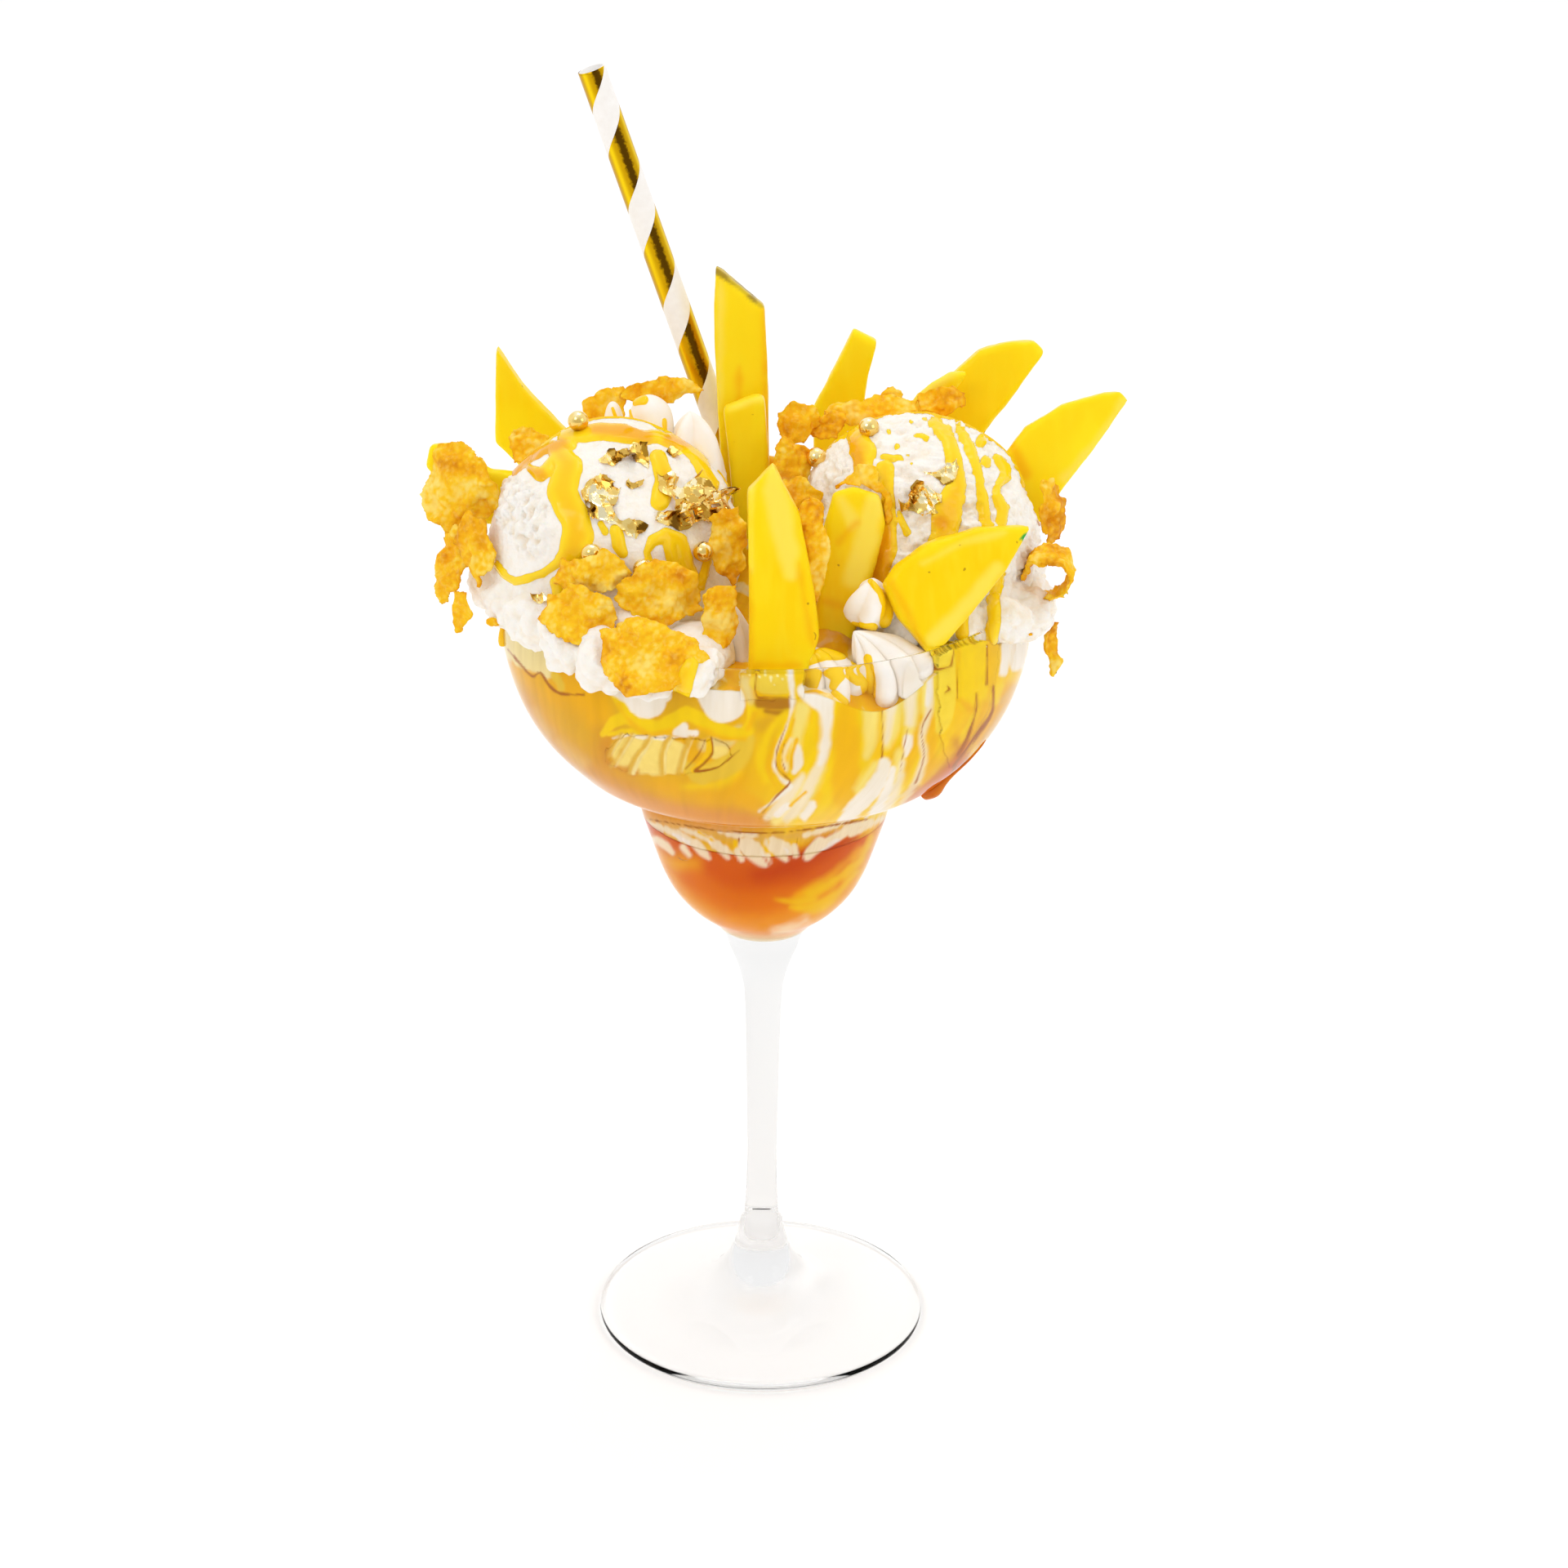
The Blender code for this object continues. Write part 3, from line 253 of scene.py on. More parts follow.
        [(822, 901, 2), (812, 919, 2.5), (812, 946, 2)], [(846, 901, 2), (838, 922, 2), (832, 945, 2)]]),
    # Painted highlight along the lit edge of each rib
    ("rib_highlight", 1.5, [
        [(765, 899, 1), (755, 913, 1.3), (749, 925, 1)], [(778, 899, 1), (767, 916, 1.3), (755, 937, 1)],
        [(801, 902, 1), (793, 916, 1.3), (785, 926, 1.3), (777, 945, 1)],
        [(826, 902, 1), (816, 920, 1.3), (816, 946, 1)], [(850, 902, 0.8), (842, 922, 1), (836, 944, 1)]]),
    ("yellow", 1.2, [[(868, 906, 4), (869, 920, 5), (860, 932, 4), (850, 942, 3)]]),
    # Painted shade: dark lines along the folds and creases of the ribs
    ("crease_shade", 0.8, [
        [(871, 902, 1.1), (873, 920, 1.3), (862, 934, 1.3), (852, 943, 1.6), (880, 938, 1.3),
         (905, 918, 0.8)],
        [(865, 903, 0.6), (856, 922, 1.1), (840, 940, 1)], [(850, 900, 0.5), (845, 903, 0.6)]])]
# Ruffles of cream that hang into the syrup
RUFFLES = [
    [(914, 1036, 9), (925, 1046, 9), (932, 1054, 6), (938, 1058, 3)],
    [(852, 1032, 6), (862, 1042, 6), (869, 1050, 3)], [(948, 1036, 8), (956, 1044, 7), (962, 1052, 3)],
    [(1004, 1032, 7), (992, 1042, 6), (988, 1049, 3)], [(806, 1026, 5), (816, 1034, 5), (825, 1043, 3)],
    [(878, 1034, 6), (886, 1042, 5), (892, 1050, 3)], [(903, 1042, 4), (908, 1051, 3)],
    [(940, 1048, 4), (943, 1056, 2)], [(838, 1036, 4), (845, 1046, 3)], [(972, 1036, 4), (974, 1046, 3)]]
# Paint on the small bowl
SMALL_BOWL_PAINT = [
    ("light_amber", 8, [[(800, 1006, 5), (880, 1022, 6), (960, 1024, 6), (1050, 1010, 6)]]),
    ("cream", 2.2, [
        [(796, 1006, 2), (822, 1016, 4.5), (846, 1030, 5), (862, 1042, 4)],
        [(836, 1014, 2), (862, 1024, 4), (884, 1036, 5), (896, 1046, 3)],
        [(793, 1016, 2), (808, 1032, 4), (820, 1044, 3)], [(912, 1030, 6), (924, 1040, 9), (936, 1050, 7)],
        [(944, 1032, 8), (962, 1038, 8), (968, 1046, 5)],
        [(992, 1046, 4), (1012, 1031, 6), (1040, 1014, 5), (1064, 1004, 3)],
        [(1040, 1020, 4), (1056, 1013, 4), (1076, 1000, 2)],
        [(880, 1018, 2), (900, 1022, 3), (925, 1022, 2)],
        [(985, 1022, 2), (1010, 1014, 3), (1036, 1004, 2)]]),
    ("white", 1.5, [
        [(918, 1036, 4), (930, 1046, 5), (938, 1054, 3)], [(950, 1036, 4), (962, 1042, 4)],
        [(1004, 1042, 2.5), (1024, 1028, 3)], [(826, 1020, 2), (846, 1032, 3)],
        [(870, 1030, 2), (886, 1040, 3)]]),
    ("yellow", 1.8, [
        [(830, 1040, 2), (850, 1050, 4), (880, 1054, 3)], [(900, 1030, 2), (904, 1044, 3), (914, 1054, 2)],
        [(974, 1030, 2), (980, 1044, 4), (990, 1050, 2)], [(940, 1024, 1), (942, 1036, 2)],
        [(856, 1018, 1), (876, 1030, 1.5)], [(1036, 1040, 2), (1062, 1022, 3)]]),
    # Painted shade: dark lines along the folds and creases
    ("crease_shade", 0.8, [
        [(905, 1026, 0.5), (908, 1042, 0.8), (920, 1056, 0.6)], [(976, 1026, 0.4), (974, 1044, 0.8)],
        [(858, 1038, 0.4), (878, 1050, 0.6)],
        [(800, 1002, 0.8), (880, 1016, 0.8), (960, 1018, 0.8), (1060, 1002, 0.8)]]),
    ("cream", 2.2, RUFFLES)]

# Pieces pressed against the inside of the glass, as outlines in pixels
SUNK_OUTLINES = {
    "kiss_sunk": [
        (742, 931), (743, 919), (754, 904), (771, 898), (806, 901), (835, 903), (855, 904), (880, 905),
        (893, 912), (896, 926), (880, 938), (855, 947), (828, 949), (781, 947), (749, 939)],
    "mango_sunk": [
        (1146, 806), (1160, 796), (1186, 788), (1210, 782), (1222, 790), (1218, 836), (1206, 876),
        (1192, 908), (1174, 936), (1158, 938), (1150, 900), (1147, 850)]}
FILM_OUTLINE = [(906, 823), (985, 821), (986, 856), (906, 858)]
SUNK_STEP = 1.5
SUNK_SWAY = [[(2.5, 9.0, 91)], [(2.5, 9.0, 92)]]
SUNK_DEPTH = 3.5
FILM_DEPTH = 0.5
RIB_RELIEF = 0.45

# Paint on the syrup, and on the cream's lowest part where the syrup has drawn up the wall
# Its dark core under the cream is painted shade, and its paler sides and foot are painted light
SYRUP_PAINT = [
    ("syrup_gold", 14, [
        [(800, 1030, 8), (815, 1052, 10), (850, 1060, 8)], [(812, 1050, 8), (832, 1092, 6), (868, 1124, 5)],
        [(1078, 1020, 14), (1066, 1060, 14), (1034, 1096, 12), (1000, 1120, 10)]]),
    ("syrup_mid", 14, [[(850, 1072, 8), (880, 1096, 12), (917, 1102, 16), (955, 1100, 12)]]),
    ("syrup_red", 14, [[
        (872, 1064, 6), (905, 1074, 14), (948, 1070, 18), (985, 1056, 18), (1022, 1036, 14),
        (1046, 1022, 8)]]),
    ("syrup_shaded_core", 12, [[
        (925, 1070, 5), (950, 1066, 10), (985, 1050, 12), (1020, 1034, 9), (1040, 1024, 4)]]),
    ("syrup_gold", 7, [[(1052, 1040, 6), (1030, 1068, 8), (1000, 1088, 9), (978, 1100, 8)]]),
    ("syrup_mid", 3, [
        [(1040, 1054, 1.5), (1020, 1074, 2), (996, 1090, 2)], [(1060, 1040, 1.5), (1044, 1062, 2)]]),
    ("syrup_swirl", 4, [
        [(1064, 1024, 3), (1052, 1050, 4), (1024, 1076, 5), (990, 1094, 4)],
        [(1046, 1066, 3), (1026, 1090, 4), (1010, 1104, 6), (992, 1110, 5), (968, 1110, 3)],
        [(950, 1100, 2), (972, 1104, 4), (996, 1100, 4)],
        [(1072, 1030, 2), (1064, 1052, 2.5), (1048, 1076, 2)]]),
    ("syrup_foot", 7, [[(948, 1139, 3), (968, 1133, 4), (986, 1125, 3)]]), ("cream", 2.2, RUFFLES)]
# Painted shade by height: the syrup pale at the foot and darker up under the cream
SYRUP_SHADE_BY_HEIGHT = [
    (101, "syrup_foot"), (104.5, "syrup_low"), (112, "syrup_low"), (119, "syrup_mid"), (124, "syrup_red"),
    (128, "syrup_red")]
# Where the syrup shows between the ruffles of the cream
SYRUP_NOTCHES = [
    [(843, 1040, 2), (850, 1054, 5)], [(882, 1046, 2), (884, 1058, 5)], [(908, 1046, 2), (910, 1060, 5)],
    [(947, 1046, 1), (949, 1060, 4)], [(973, 1036, 3), (975, 1056, 7)]]

# Scoops: middle, half size, seed, and skirt lumps of bearing, distance, height, half width, half height
SCOOPS = {"scoop_left": ((-32.7, -11.0, 194.5), 27.0, 3), "scoop_right": ((31.6, -4.0, 195.5), 26.0, 8)}
SKIRTS = {
    "scoop_left": [
        (-92, 57, 187, 7, 5.5), (-80, 57.5, 185.5, 7, 6), (-68, 58, 185, 6.5, 6), (-56, 58, 185.5, 6.5, 6),
        (-45, 57.5, 185, 6.5, 6.2), (-35, 57, 183.5, 6.5, 7), (-25, 56, 183, 7, 7), (-15, 54.5, 183.5, 6, 5),
        (-75, 47, 186, 10, 8), (-56, 47, 186, 10, 8), (-38, 46, 186, 10, 9), (-20, 45, 182.5, 9, 6.5)],
    "scoop_right": [
        (62, 57, 185, 6, 5), (72, 58.5, 182.5, 6.5, 5.8), (83, 58, 182, 5, 5.5), (93, 56, 184.5, 5, 5),
        (70, 49, 186, 9, 8), (88, 49, 187, 9, 8), (46, 42, 184, 10, 10), (56, 50.5, 183.5, 6, 5.5)]}
SCOOP_VOXEL, MANGO_VOXEL, FLAKE_VOXEL = 0.54, 0.6, 0.33
# Where a skirt begins, as distances from the axis, its top, and how much its lumps grow
SKIRT_FROM, SKIRT_TOP, LUMP_GROWN = (48, 54), 192, 1.02
# Least slant at which a place counts as seen from the front
FACING = 0.04
ICY_PATCH = [[(630, 600, 16), (640, 628, 32), (652, 660, 26)]]
# Where a flake lies close on the skirt, which is kept flat there
UNDER_FLAKE = [[(760, 790, 34), (800, 812, 40), (840, 800, 30)]]
SAUCE_HEIGHT = 0.8
SAUCE_ON_SCOOP = {
    "scoop_left": [
        [(682, 553, 12), (697, 573, 17), (688, 602, 18), (705, 638, 18), (708, 655, 20), (702, 672, 17),
         (690, 684, 10)],
        [(690, 684, 7), (676, 694, 5), (664, 702, 5), (647, 708, 5), (632, 712, 5.5), (620, 705, 5),
         (608, 690, 4)],
        [(700, 545, 7), (680, 547, 7), (664, 553, 6), (649, 560, 6), (636, 572, 6), (630, 580, 4)],
        [(650, 574, 5), (662, 582, 8), (672, 574, 8), (678, 560, 5)],
        [(693, 536, 10), (735, 529, 11), (764, 532, 12), (787, 538, 10), (805, 535, 8), (820, 541, 8)],
        [(817, 538, 9), (840, 547, 9), (852, 559, 9), (864, 582, 9), (873, 594, 8)],
        [(805, 561, 10), (814, 588, 13), (808, 614, 12)],
        [(796, 690, 5), (792, 676, 5), (799, 662, 7), (815, 656, 10), (832, 662, 9), (838, 684, 10),
         (846, 706, 10)],
        [(818, 664, 8), (824, 690, 7), (838, 706, 8), (856, 716, 7)],
        [(867, 682, 5), (862, 702, 6), (856, 716, 6)], [(755, 649, 8), (758, 667, 9), (763, 677, 7)],
        [(735, 641, 4), (741, 652, 4)], [(682, 714, 8), (685, 732, 8)],
        [(846, 811, 10), (837, 831, 13), (834, 852, 11)]],
    "scoop_right": [
        [(1049, 535, 13), (1057, 553, 16), (1057, 570, 12)], [(1081, 560, 3), (1104, 563, 3)],
        [(1084, 576, 11), (1087, 603, 8), (1090, 638, 8), (1084, 673, 15), (1072, 702, 15), (1081, 714, 12)],
        [(1098, 548, 3.5)], [(1112, 557, 2)], [(1116, 569, 2.5)], [(1088, 529, 2.5)], [(1132, 515, 3.5)],
        [(1116, 520, 3.5)], [(1122, 534, 3.5), (1134, 537, 3.5)],
        [(1145, 520, 9), (1160, 535, 9), (1166, 556, 9), (1172, 597, 13), (1160, 626, 20), (1157, 650, 17),
         (1145, 661, 9)],
        [(1172, 523, 3.5), (1186, 547, 7), (1195, 573, 6.5), (1201, 597, 6), (1205, 620, 7), (1207, 644, 7)],
        [(1201, 541, 7)], [(1207, 566, 8)],
        [(1219, 559, 3.5), (1230, 573, 6.5), (1230, 585, 7.5), (1222, 594, 5), (1220, 608, 6),
         (1227, 623, 8), (1225, 641, 6.5)],
        [(1101, 626, 2.5), (1104, 638, 4), (1110, 652, 5.5)], [(1178, 755, 9), (1178, 776, 8)],
        [(1222, 705, 8), (1217, 729, 8), (1217, 761, 9), (1213, 796, 8), (1211, 825, 6)]]}
# Where the sauce is deep and amber
AMBER_ON_SCOOP = {
    "scoop_left": [
        [(630, 580, 8), (642, 566, 8), (664, 554, 9), (690, 546, 7)], [(650, 578, 5), (664, 584, 6)],
        [(730, 530, 5), (765, 531, 9), (790, 538, 8)], [(815, 540, 5), (838, 547, 5)]],
    "scoop_right": [
        [(1046, 545, 6), (1052, 572, 8)], [(1088, 650, 5), (1080, 690, 12), (1078, 716, 10)],
        [(1150, 640, 8)]]}
# Bands down the backs of the scoops, in degrees: bearing round the scoop, lowest elevation, half width
BACK_BANDS = [(-150, 12, 9), (-118, 30, 7), (100, 20, 8), (128, -5, 6), (158, 28, 10), (180, 5, 6)]
BACK_CAP = 58

# Gold: pearls by pixel, and patches of leaf as outlines in pixels. Steps are in pixels too
PEARL_RADIUS = 2.2
PEARLS = {
    "scoop_left": [(711, 520), (854, 672), (726, 672), (786, 692)], "scoop_right": [(993, 549), (1065, 528)]}
# Crumbs of flake: scoop, pixel and half size in millimetres
CRUMBS = [
    ("scoop_left", 598, 766, 1.3), ("scoop_left", 608, 762, 0.8), ("scoop_left", 742, 806, 0.7),
    ("scoop_right", 1299, 726, 1.0), ("scoop_left", 906, 836, 0.5), ("scoop_right", 1262, 776, 0.5)]
LEAF_PATCHES = {
    "scoop_left": [
        [(707, 601), (719, 586), (733, 578), (750, 584), (764, 596), (760, 614), (752, 624), (762, 636),
         (773, 629), (784, 634), (798, 641), (792, 653), (782, 662), (765, 658), (756, 647), (745, 643),
         (732, 640), (718, 639), (714, 624), (712, 612)],
        [(728, 561), (745, 551), (765, 555), (773, 539), (790, 545), (798, 561), (797, 580), (784, 570),
         (765, 567), (750, 576), (734, 570)],
        [(762, 588), (775, 580), (791, 586), (789, 599), (774, 602), (764, 597)],
        [(810, 552), (825, 543), (837, 563), (822, 563)],
        [(802, 570), (826, 582), (832, 596), (851, 577), (870, 588), (874, 600), (896, 590), (902, 600),
         (892, 617), (900, 630), (872, 643), (853, 640), (838, 657), (820, 646), (800, 642), (800, 623),
         (822, 628), (817, 611), (803, 600)],
        [(645, 729), (660, 730), (690, 732), (692, 741), (664, 743), (650, 739)]],
    "scoop_right": [
        [(1097, 614), (1112, 601), (1121, 587), (1137, 598), (1155, 605), (1158, 620), (1150, 632),
         (1130, 635), (1112, 628), (1100, 621)],
        [(1125, 575), (1143, 576), (1171, 560), (1177, 574), (1170, 593), (1155, 599), (1142, 585),
         (1132, 585)]]}
LEAF_STEP, LEAF_THICKNESS = 1.6, 0.05
# How the leaf's outline wavers across and down: much, size and seed
LEAF_SWAY = [[(1.5, 8.0, 71), (0.9, 3.0, 72)], [(1.5, 8.0, 73), (0.9, 3.0, 74)]]
# Holes in the leaf: size, seed and the noise above which there is one
LEAF_HOLES = (9.0, 75, 0.72)
# Facets of the leaf: size, slope, share of the tilt, which paints each facet's reflection darker or brighter,
# and seed
LEAF_FACETS = [(4.0, 0.6, 0.45, 81), (2.1, 0.5, 0.3, 82)]

# Straw: top, lean, radii, length and the pitch of its spiral band
STRAW_TOP, STRAW_LEAN = (-38.1, 20.0, 291.0), -19.0
STRAW_RADIUS, STRAW_WALL, STRAW_LENGTH = 3.0, 0.45, 150.0
STRAW_PITCH, STRAW_WHITE, STRAW_START = 22.9, 0.44, -0.39
STRAW_SIDES, OUTER_ROWS, INNER_ROWS = 64, 300, 16
# Painted reflections on the foil: bearings of its dark and bright streaks round the straw, 270 in front, and
# half widths
FOIL_DARK = [(290, 21), (55, 18), (165, 18)]
FOIL_BRIGHT = [(238, 13), (340, 12), (110, 16)]

# Piped meringue: base, tip, radius, ridges, twist in degrees and bluntness
KISSES = {
    "kiss_front": ((27.5, -41.5, 177.5), (18.5, -46, 189.5), 7.8, 6, 70, 1.25),
    "kiss_sauced": ((13.5, -44.5, 175.5), (9, -46, 186), 7.6, 6, 40, 1.5),
    "kiss_small": ((21.7, -38.5, 190.5), (22.3, -38.5, 198.6), 4.9, 4, 40, 2.2),
    "meringue_round": ((-24.6, 3, 214), (-25.8, 3, 224.2), 5.0, 0, 0, 4.0),
    "meringue_petal": ((-14.8, -2, 207), (-16.8, 1, 221.5), 6.4, 4, 30, 3.0),
    "meringue_bit": ((-33.2, 5, 214.5), (-33.4, 5, 222), 2.3, 0, 0, 3.0),
    "kiss_pale": ((-6.2, -38, 176.5), (-7, -36.5, 192), 5.2, 5, 30, 2.0)}
# Depth of the ridges as a share of the radius, and length of the rounded foot as a share of the height
KISS_RIDGE, KISS_FOOT = 0.3, 0.37
SAUCE_ON_KISS = {
    "kiss_sauced": [
        [(978, 824, 5), (992, 838, 9), (1000, 824, 7), (994, 846, 5)],
        [(1010, 822, 5), (1026, 828, 8), (1020, 840, 5)], [(1050, 806, 9), (1060, 828, 9), (1064, 852, 9)],
        [(1022, 850, 6), (1030, 860, 9)], [(1040, 826, 6), (1050, 834, 5)],
        [(990, 808, 8), (1010, 800, 9), (1030, 800, 8)]],
    "meringue_round": [
        [(778, 492, 5), (788, 490, 6)], [(772, 503, 1.5), (776, 520, 2)], [(813, 514, 3), (814, 526, 3)]],
    "kiss_front": [[(1062, 806, 5), (1066, 826, 6), (1066, 852, 6)]],
    "kiss_small": [
        [(1066, 712, 3), (1079, 726, 5), (1087, 742, 7), (1084, 762, 8)], [(1045, 764, 3), (1070, 768, 5)]],
    "meringue_bit": [[(750, 500, 2), (757, 520, 2.5)]]}

# Painted light and shade on the fruit: paler lit zones and deeper shaded ones, as strokes in pixels, and how
# soft they are
MANGO_PAINTED_LIGHT = {
    "mango_front": [
        [(945, 572, 6), (948, 600, 13), (958, 640, 15), (965, 680, 13), (968, 702, 7)],
        [(920, 590, 2), (920, 700, 1)]],
    "mango_middle": [[(1030, 612, 5), (1045, 640, 8)], [(1070, 615, 10), (1062, 660, 14), (1046, 710, 12)]],
    "mango_leaf": [
        [(1142, 783, 8), (1185, 742, 10), (1222, 697, 7)], [(1130, 690, 2), (1180, 664, 2), (1230, 652, 2)]],
    "mango_back": [[(1205, 432, 9), (1262, 421, 10)], [(1225, 458, 6), (1252, 447, 6)]],
    "mango_curl": [[(1118, 500, 9), (1135, 476, 9), (1165, 455, 7)]],
    "mango_back_left": [[(1028, 425, 8), (1024, 460, 10), (1034, 500, 12)]],
    "mango_right": [[(1305, 586, 5), (1350, 530, 4), (1376, 492, 4)]],
    "mango_far_left": [[(608, 428, 3), (612, 520, 3), (640, 545, 3)]],
    "mango_short": [[(895, 500, 3), (930, 488, 4)]], "mango_tall": [[(883, 345, 3), (880, 500, 2)]]}
MANGO_PAINTED_SHADE = {
    "mango_front": [
        [(918, 700, 2), (920, 815, 4), (980, 815, 3)], [(978, 690, 2), (984, 730, 3), (996, 790, 3)]],
    "mango_middle": [
        [(1050, 640, 1.5), (1036, 652, 1.5), (1027, 665, 1.5)], [(1008, 735, 4), (1040, 745, 5)]],
    "mango_leaf": [[(1092, 715, 5), (1112, 750, 4), (1128, 788, 3)]],
    "mango_back": [[(1180, 470, 8), (1205, 520, 12)], [(1160, 490, 4), (1168, 520, 6)]],
    "mango_right": [[(1240, 545, 6), (1255, 580, 8)]],
    "mango_tall": [[(936, 380, 3), (938, 600, 4)], [(905, 450, 3), (905, 600, 5)]],
    "mango_short": [[(940, 505, 2), (944, 600, 4)]]}
ZONE_SOFT = 6
# Gap in pixels where there is no stroke
FAR = 99.0
# Sauce in the hollow between the slices and the kisses, darkened there by painted shade
HOLLOW_SAUCE_AND_SHADE = [[(1002, 766, 12), (1018, 776, 14), (1040, 784, 12)], [(1004, 792, 12), (1022, 802, 8)]]
# Painted light: how much lighter the slices at the back are painted, to lift them out of shade
LIT_BACK_SLICES = {
    "mango_back": 0.5, "mango_right": 0.5, "mango_back_left": 0.4, "mango_far_left": 0.45, "mango_curl": 0.4,
    "mango_tall": 0.4, "mango_short": 0.45, "mango_back_right": 0.4, "mango_middle": 0.1}

# Skin left on the fruit, in pixels
SKIN_BROWN = [[(880, 331, 6), (905, 346, 7), (933, 371, 6)]]
SKIN_GREEN = [[(1253, 659, 3.5), (1256, 655, 3)]]

# How flakes are bent: size and depth of each noise
FLAKE_WAVES = [(6.0, 0.9), (2.6, 0.9), (1.3, 0.4)]
# How much browner some flakes are than the rest
FLAKE_TOAST = {
    "flake_top_pale": -0.22, "flake_top_left": -0.05, "flake_right_high": 0.06, "flake_front_left": 0.06,
    "flake_left_big": -0.06, "flake_arch_left": -0.1, "flake_arch_right": -0.12, "flake_ribbon": -0.1}

# Drips outside the glass: (bearing, height, half width), bearing 0 at the front and 90 at the right
DRIP_SIDES = 14
OUTSIDE_DRIPS = {
    "drip_right": [
        (66, 155, 0.25), (63.5, 151, 0.35), (61.5, 147.5, 0.5), (60.5, 145.2, 1.1), (60, 143.4, 2.1),
        (60, 141.8, 1.9)],
    "drip_left": [(-80, 176, 0.5), (-80, 174.5, 0.8), (-80, 172.6, 1.15), (-80, 171.2, 1.0)]}


# Projection

def camera_axes():
    """Right, up and forward of the camera, with its roll."""
    tilt, roll = math.radians(CAMERA_TILT), math.radians(CAMERA_ROLL)
    right = np.array([1.0, 0.0, 0.0])
    up = np.array([0.0, math.sin(tilt), math.cos(tilt)])
    ahead = np.array([0.0, math.cos(tilt), -math.sin(tilt)])
    return right * math.cos(roll) + up * math.sin(roll), up * math.cos(roll) - right * math.sin(roll), ahead


def to_pixels(points):
    """Where points in millimetres show in the photograph."""
    right, up, ahead = camera_axes()
    away = points - CAMERA_AT
    depth = away @ ahead
    middle = PHOTO_SIZE / 2
    return middle + FOCAL_PX * (away @ right) / depth, middle - FOCAL_PX * (away @ up) / depth


def pixel_ray(x, y):
    """The direction in which a pixel of the photograph looks."""
    right, up, ahead = camera_axes()
    middle = PHOTO_SIZE / 2
    way = ahead + right * (x - middle) / FOCAL_PX - up * (y - middle) / FOCAL_PX
    return way / np.linalg.norm(way)


def bearing_of(spots):
    """Degrees round the axis: 0 at the front and 90 at the right."""
    return np.degrees(np.arctan2(spots[:, 0], -spots[:, 1]))


# Noise

def scatter(cells, seed):
    """A repeatable number from 0 to 1 for each row of whole numbers."""
    x, y, z = cells.T
    mixed = x * 73856093 ^ y * 19349663 ^ z * 83492791 ^ (seed * 2654435 + 12345)
    mixed = (mixed ^ (mixed >> 13)) & 0x7FFFFFFF
    mixed = (mixed * 1103515245 + 12345) & 0x7FFFFFFF
    mixed = (mixed ^ (mixed >> 15)) & 0x7FFFFFFF
    mixed = (mixed * 69069 + 1) & 0x7FFFFFFF
    return ((mixed >> 7) & 0xFFFF) / 0xFFFF


def smooth_noise(points, size, seed):
    """Smooth noise from -1 to 1, whose bumps are about as wide as size."""
    spots = points / size
    low = np.floor(spots).astype(np.int64)
    share = spots - low
    share = share * share * (3 - 2 * share)
    total = np.zeros(len(points))
    for corner in range(8):
        step = np.array([corner & 1, corner >> 1 & 1, corner >> 2 & 1])
        weight = np.prod(np.where(step, share, 1 - share), axis=1)
        total += weight * scatter(low + step, seed)
    return total * 2 - 1


def layered_noise(points, size, layers, seed):
    return sum(smooth_noise(points, size / 2**layer, seed + layer * 17) / 2**layer for layer in range(layers))


def noise_push(points, size, seed):
    """A smooth noise for each of the three directions."""
    return np.column_stack([smooth_noise(points, size, seed + axis) for axis in range(3)])


def cell_offset(points, size, seed):
    """Offset from the nearest of scattered middles, as a share of size, and that middle's tilt of -1 to 1."""
    spots = points / size
    low = np.floor(spots).astype(np.int64)
    best = np.full(len(points), np.inf)
    away, mark = np.zeros_like(points), np.zeros_like(points)
    for step in np.ndindex(3, 3, 3):
        cell = low + np.array(step) - 1
        jitter, tilt = (
            np.stack([scatter(cell, seed + k) for k in keys], axis=1) for keys in ((1, 2, 3), (4, 5, 6)))
        offset = spots - cell - jitter
        gap = np.linalg.norm(offset, axis=1)
        nearer = (gap < best)[:, None]
        best = np.minimum(best, gap)
        away = np.where(nearer, offset, away)
        mark = np.where(nearer, tilt * 2 - 1, mark)
    return away, mark


def cell_gap(points, size, seed):
    """Distance to the nearest of scattered middles, as a share of size."""
    return np.linalg.norm(cell_offset(points, size, seed)[0], axis=1)


def ramp(value, low, high):
    """0 below low, 1 above high, and smooth between."""
    share = np.clip((value - low) / (high - low), 0, 1)
    return share * share * (3 - 2 * share)


def stroke_gap(x, y, strokes):
    """Distance in pixels from points to the nearest stroke's edge, negative inside it."""
    best = np.full(len(x), 1e6)
    for stroke in strokes:
        runs = list(zip(stroke, stroke[1:])) or [(stroke[0], stroke[0])]
        for (x0, y0, w0), (x1, y1, w1) in runs:
            dx, dy = x1 - x0, y1 - y0
            long = dx * dx + dy * dy
            share = np.clip(((x - x0) * dx + (y - y0) * dy) / long, 0, 1) if long else np.zeros(len(x))
            gap = np.hypot(x - x0 - share * dx, y - y0 - share * dy) - (w0 + (w1 - w0) * share)
            best = np.minimum(best, gap)
    return best


# Meshes

def make_mesh(name, points, faces, smooth=True):
    """A mesh object in metres from points in millimetres."""
    mesh = bpy.data.meshes.new(name)
    mesh.from_pydata((np.asarray(points) * MM).tolist(), [], faces)
    if smooth:
        mesh.shade_smooth()
    obj = bpy.data.objects.new(name, mesh)
    bpy.context.scene.collection.objects.link(obj)
    return obj


def edited(obj, change):
    """The object after a change to its mesh."""
    bm = bmesh.new()
    bm.from_mesh(obj.data)
    change(bm)
    bm.to_mesh(obj.data)
    bm.free()
    return obj


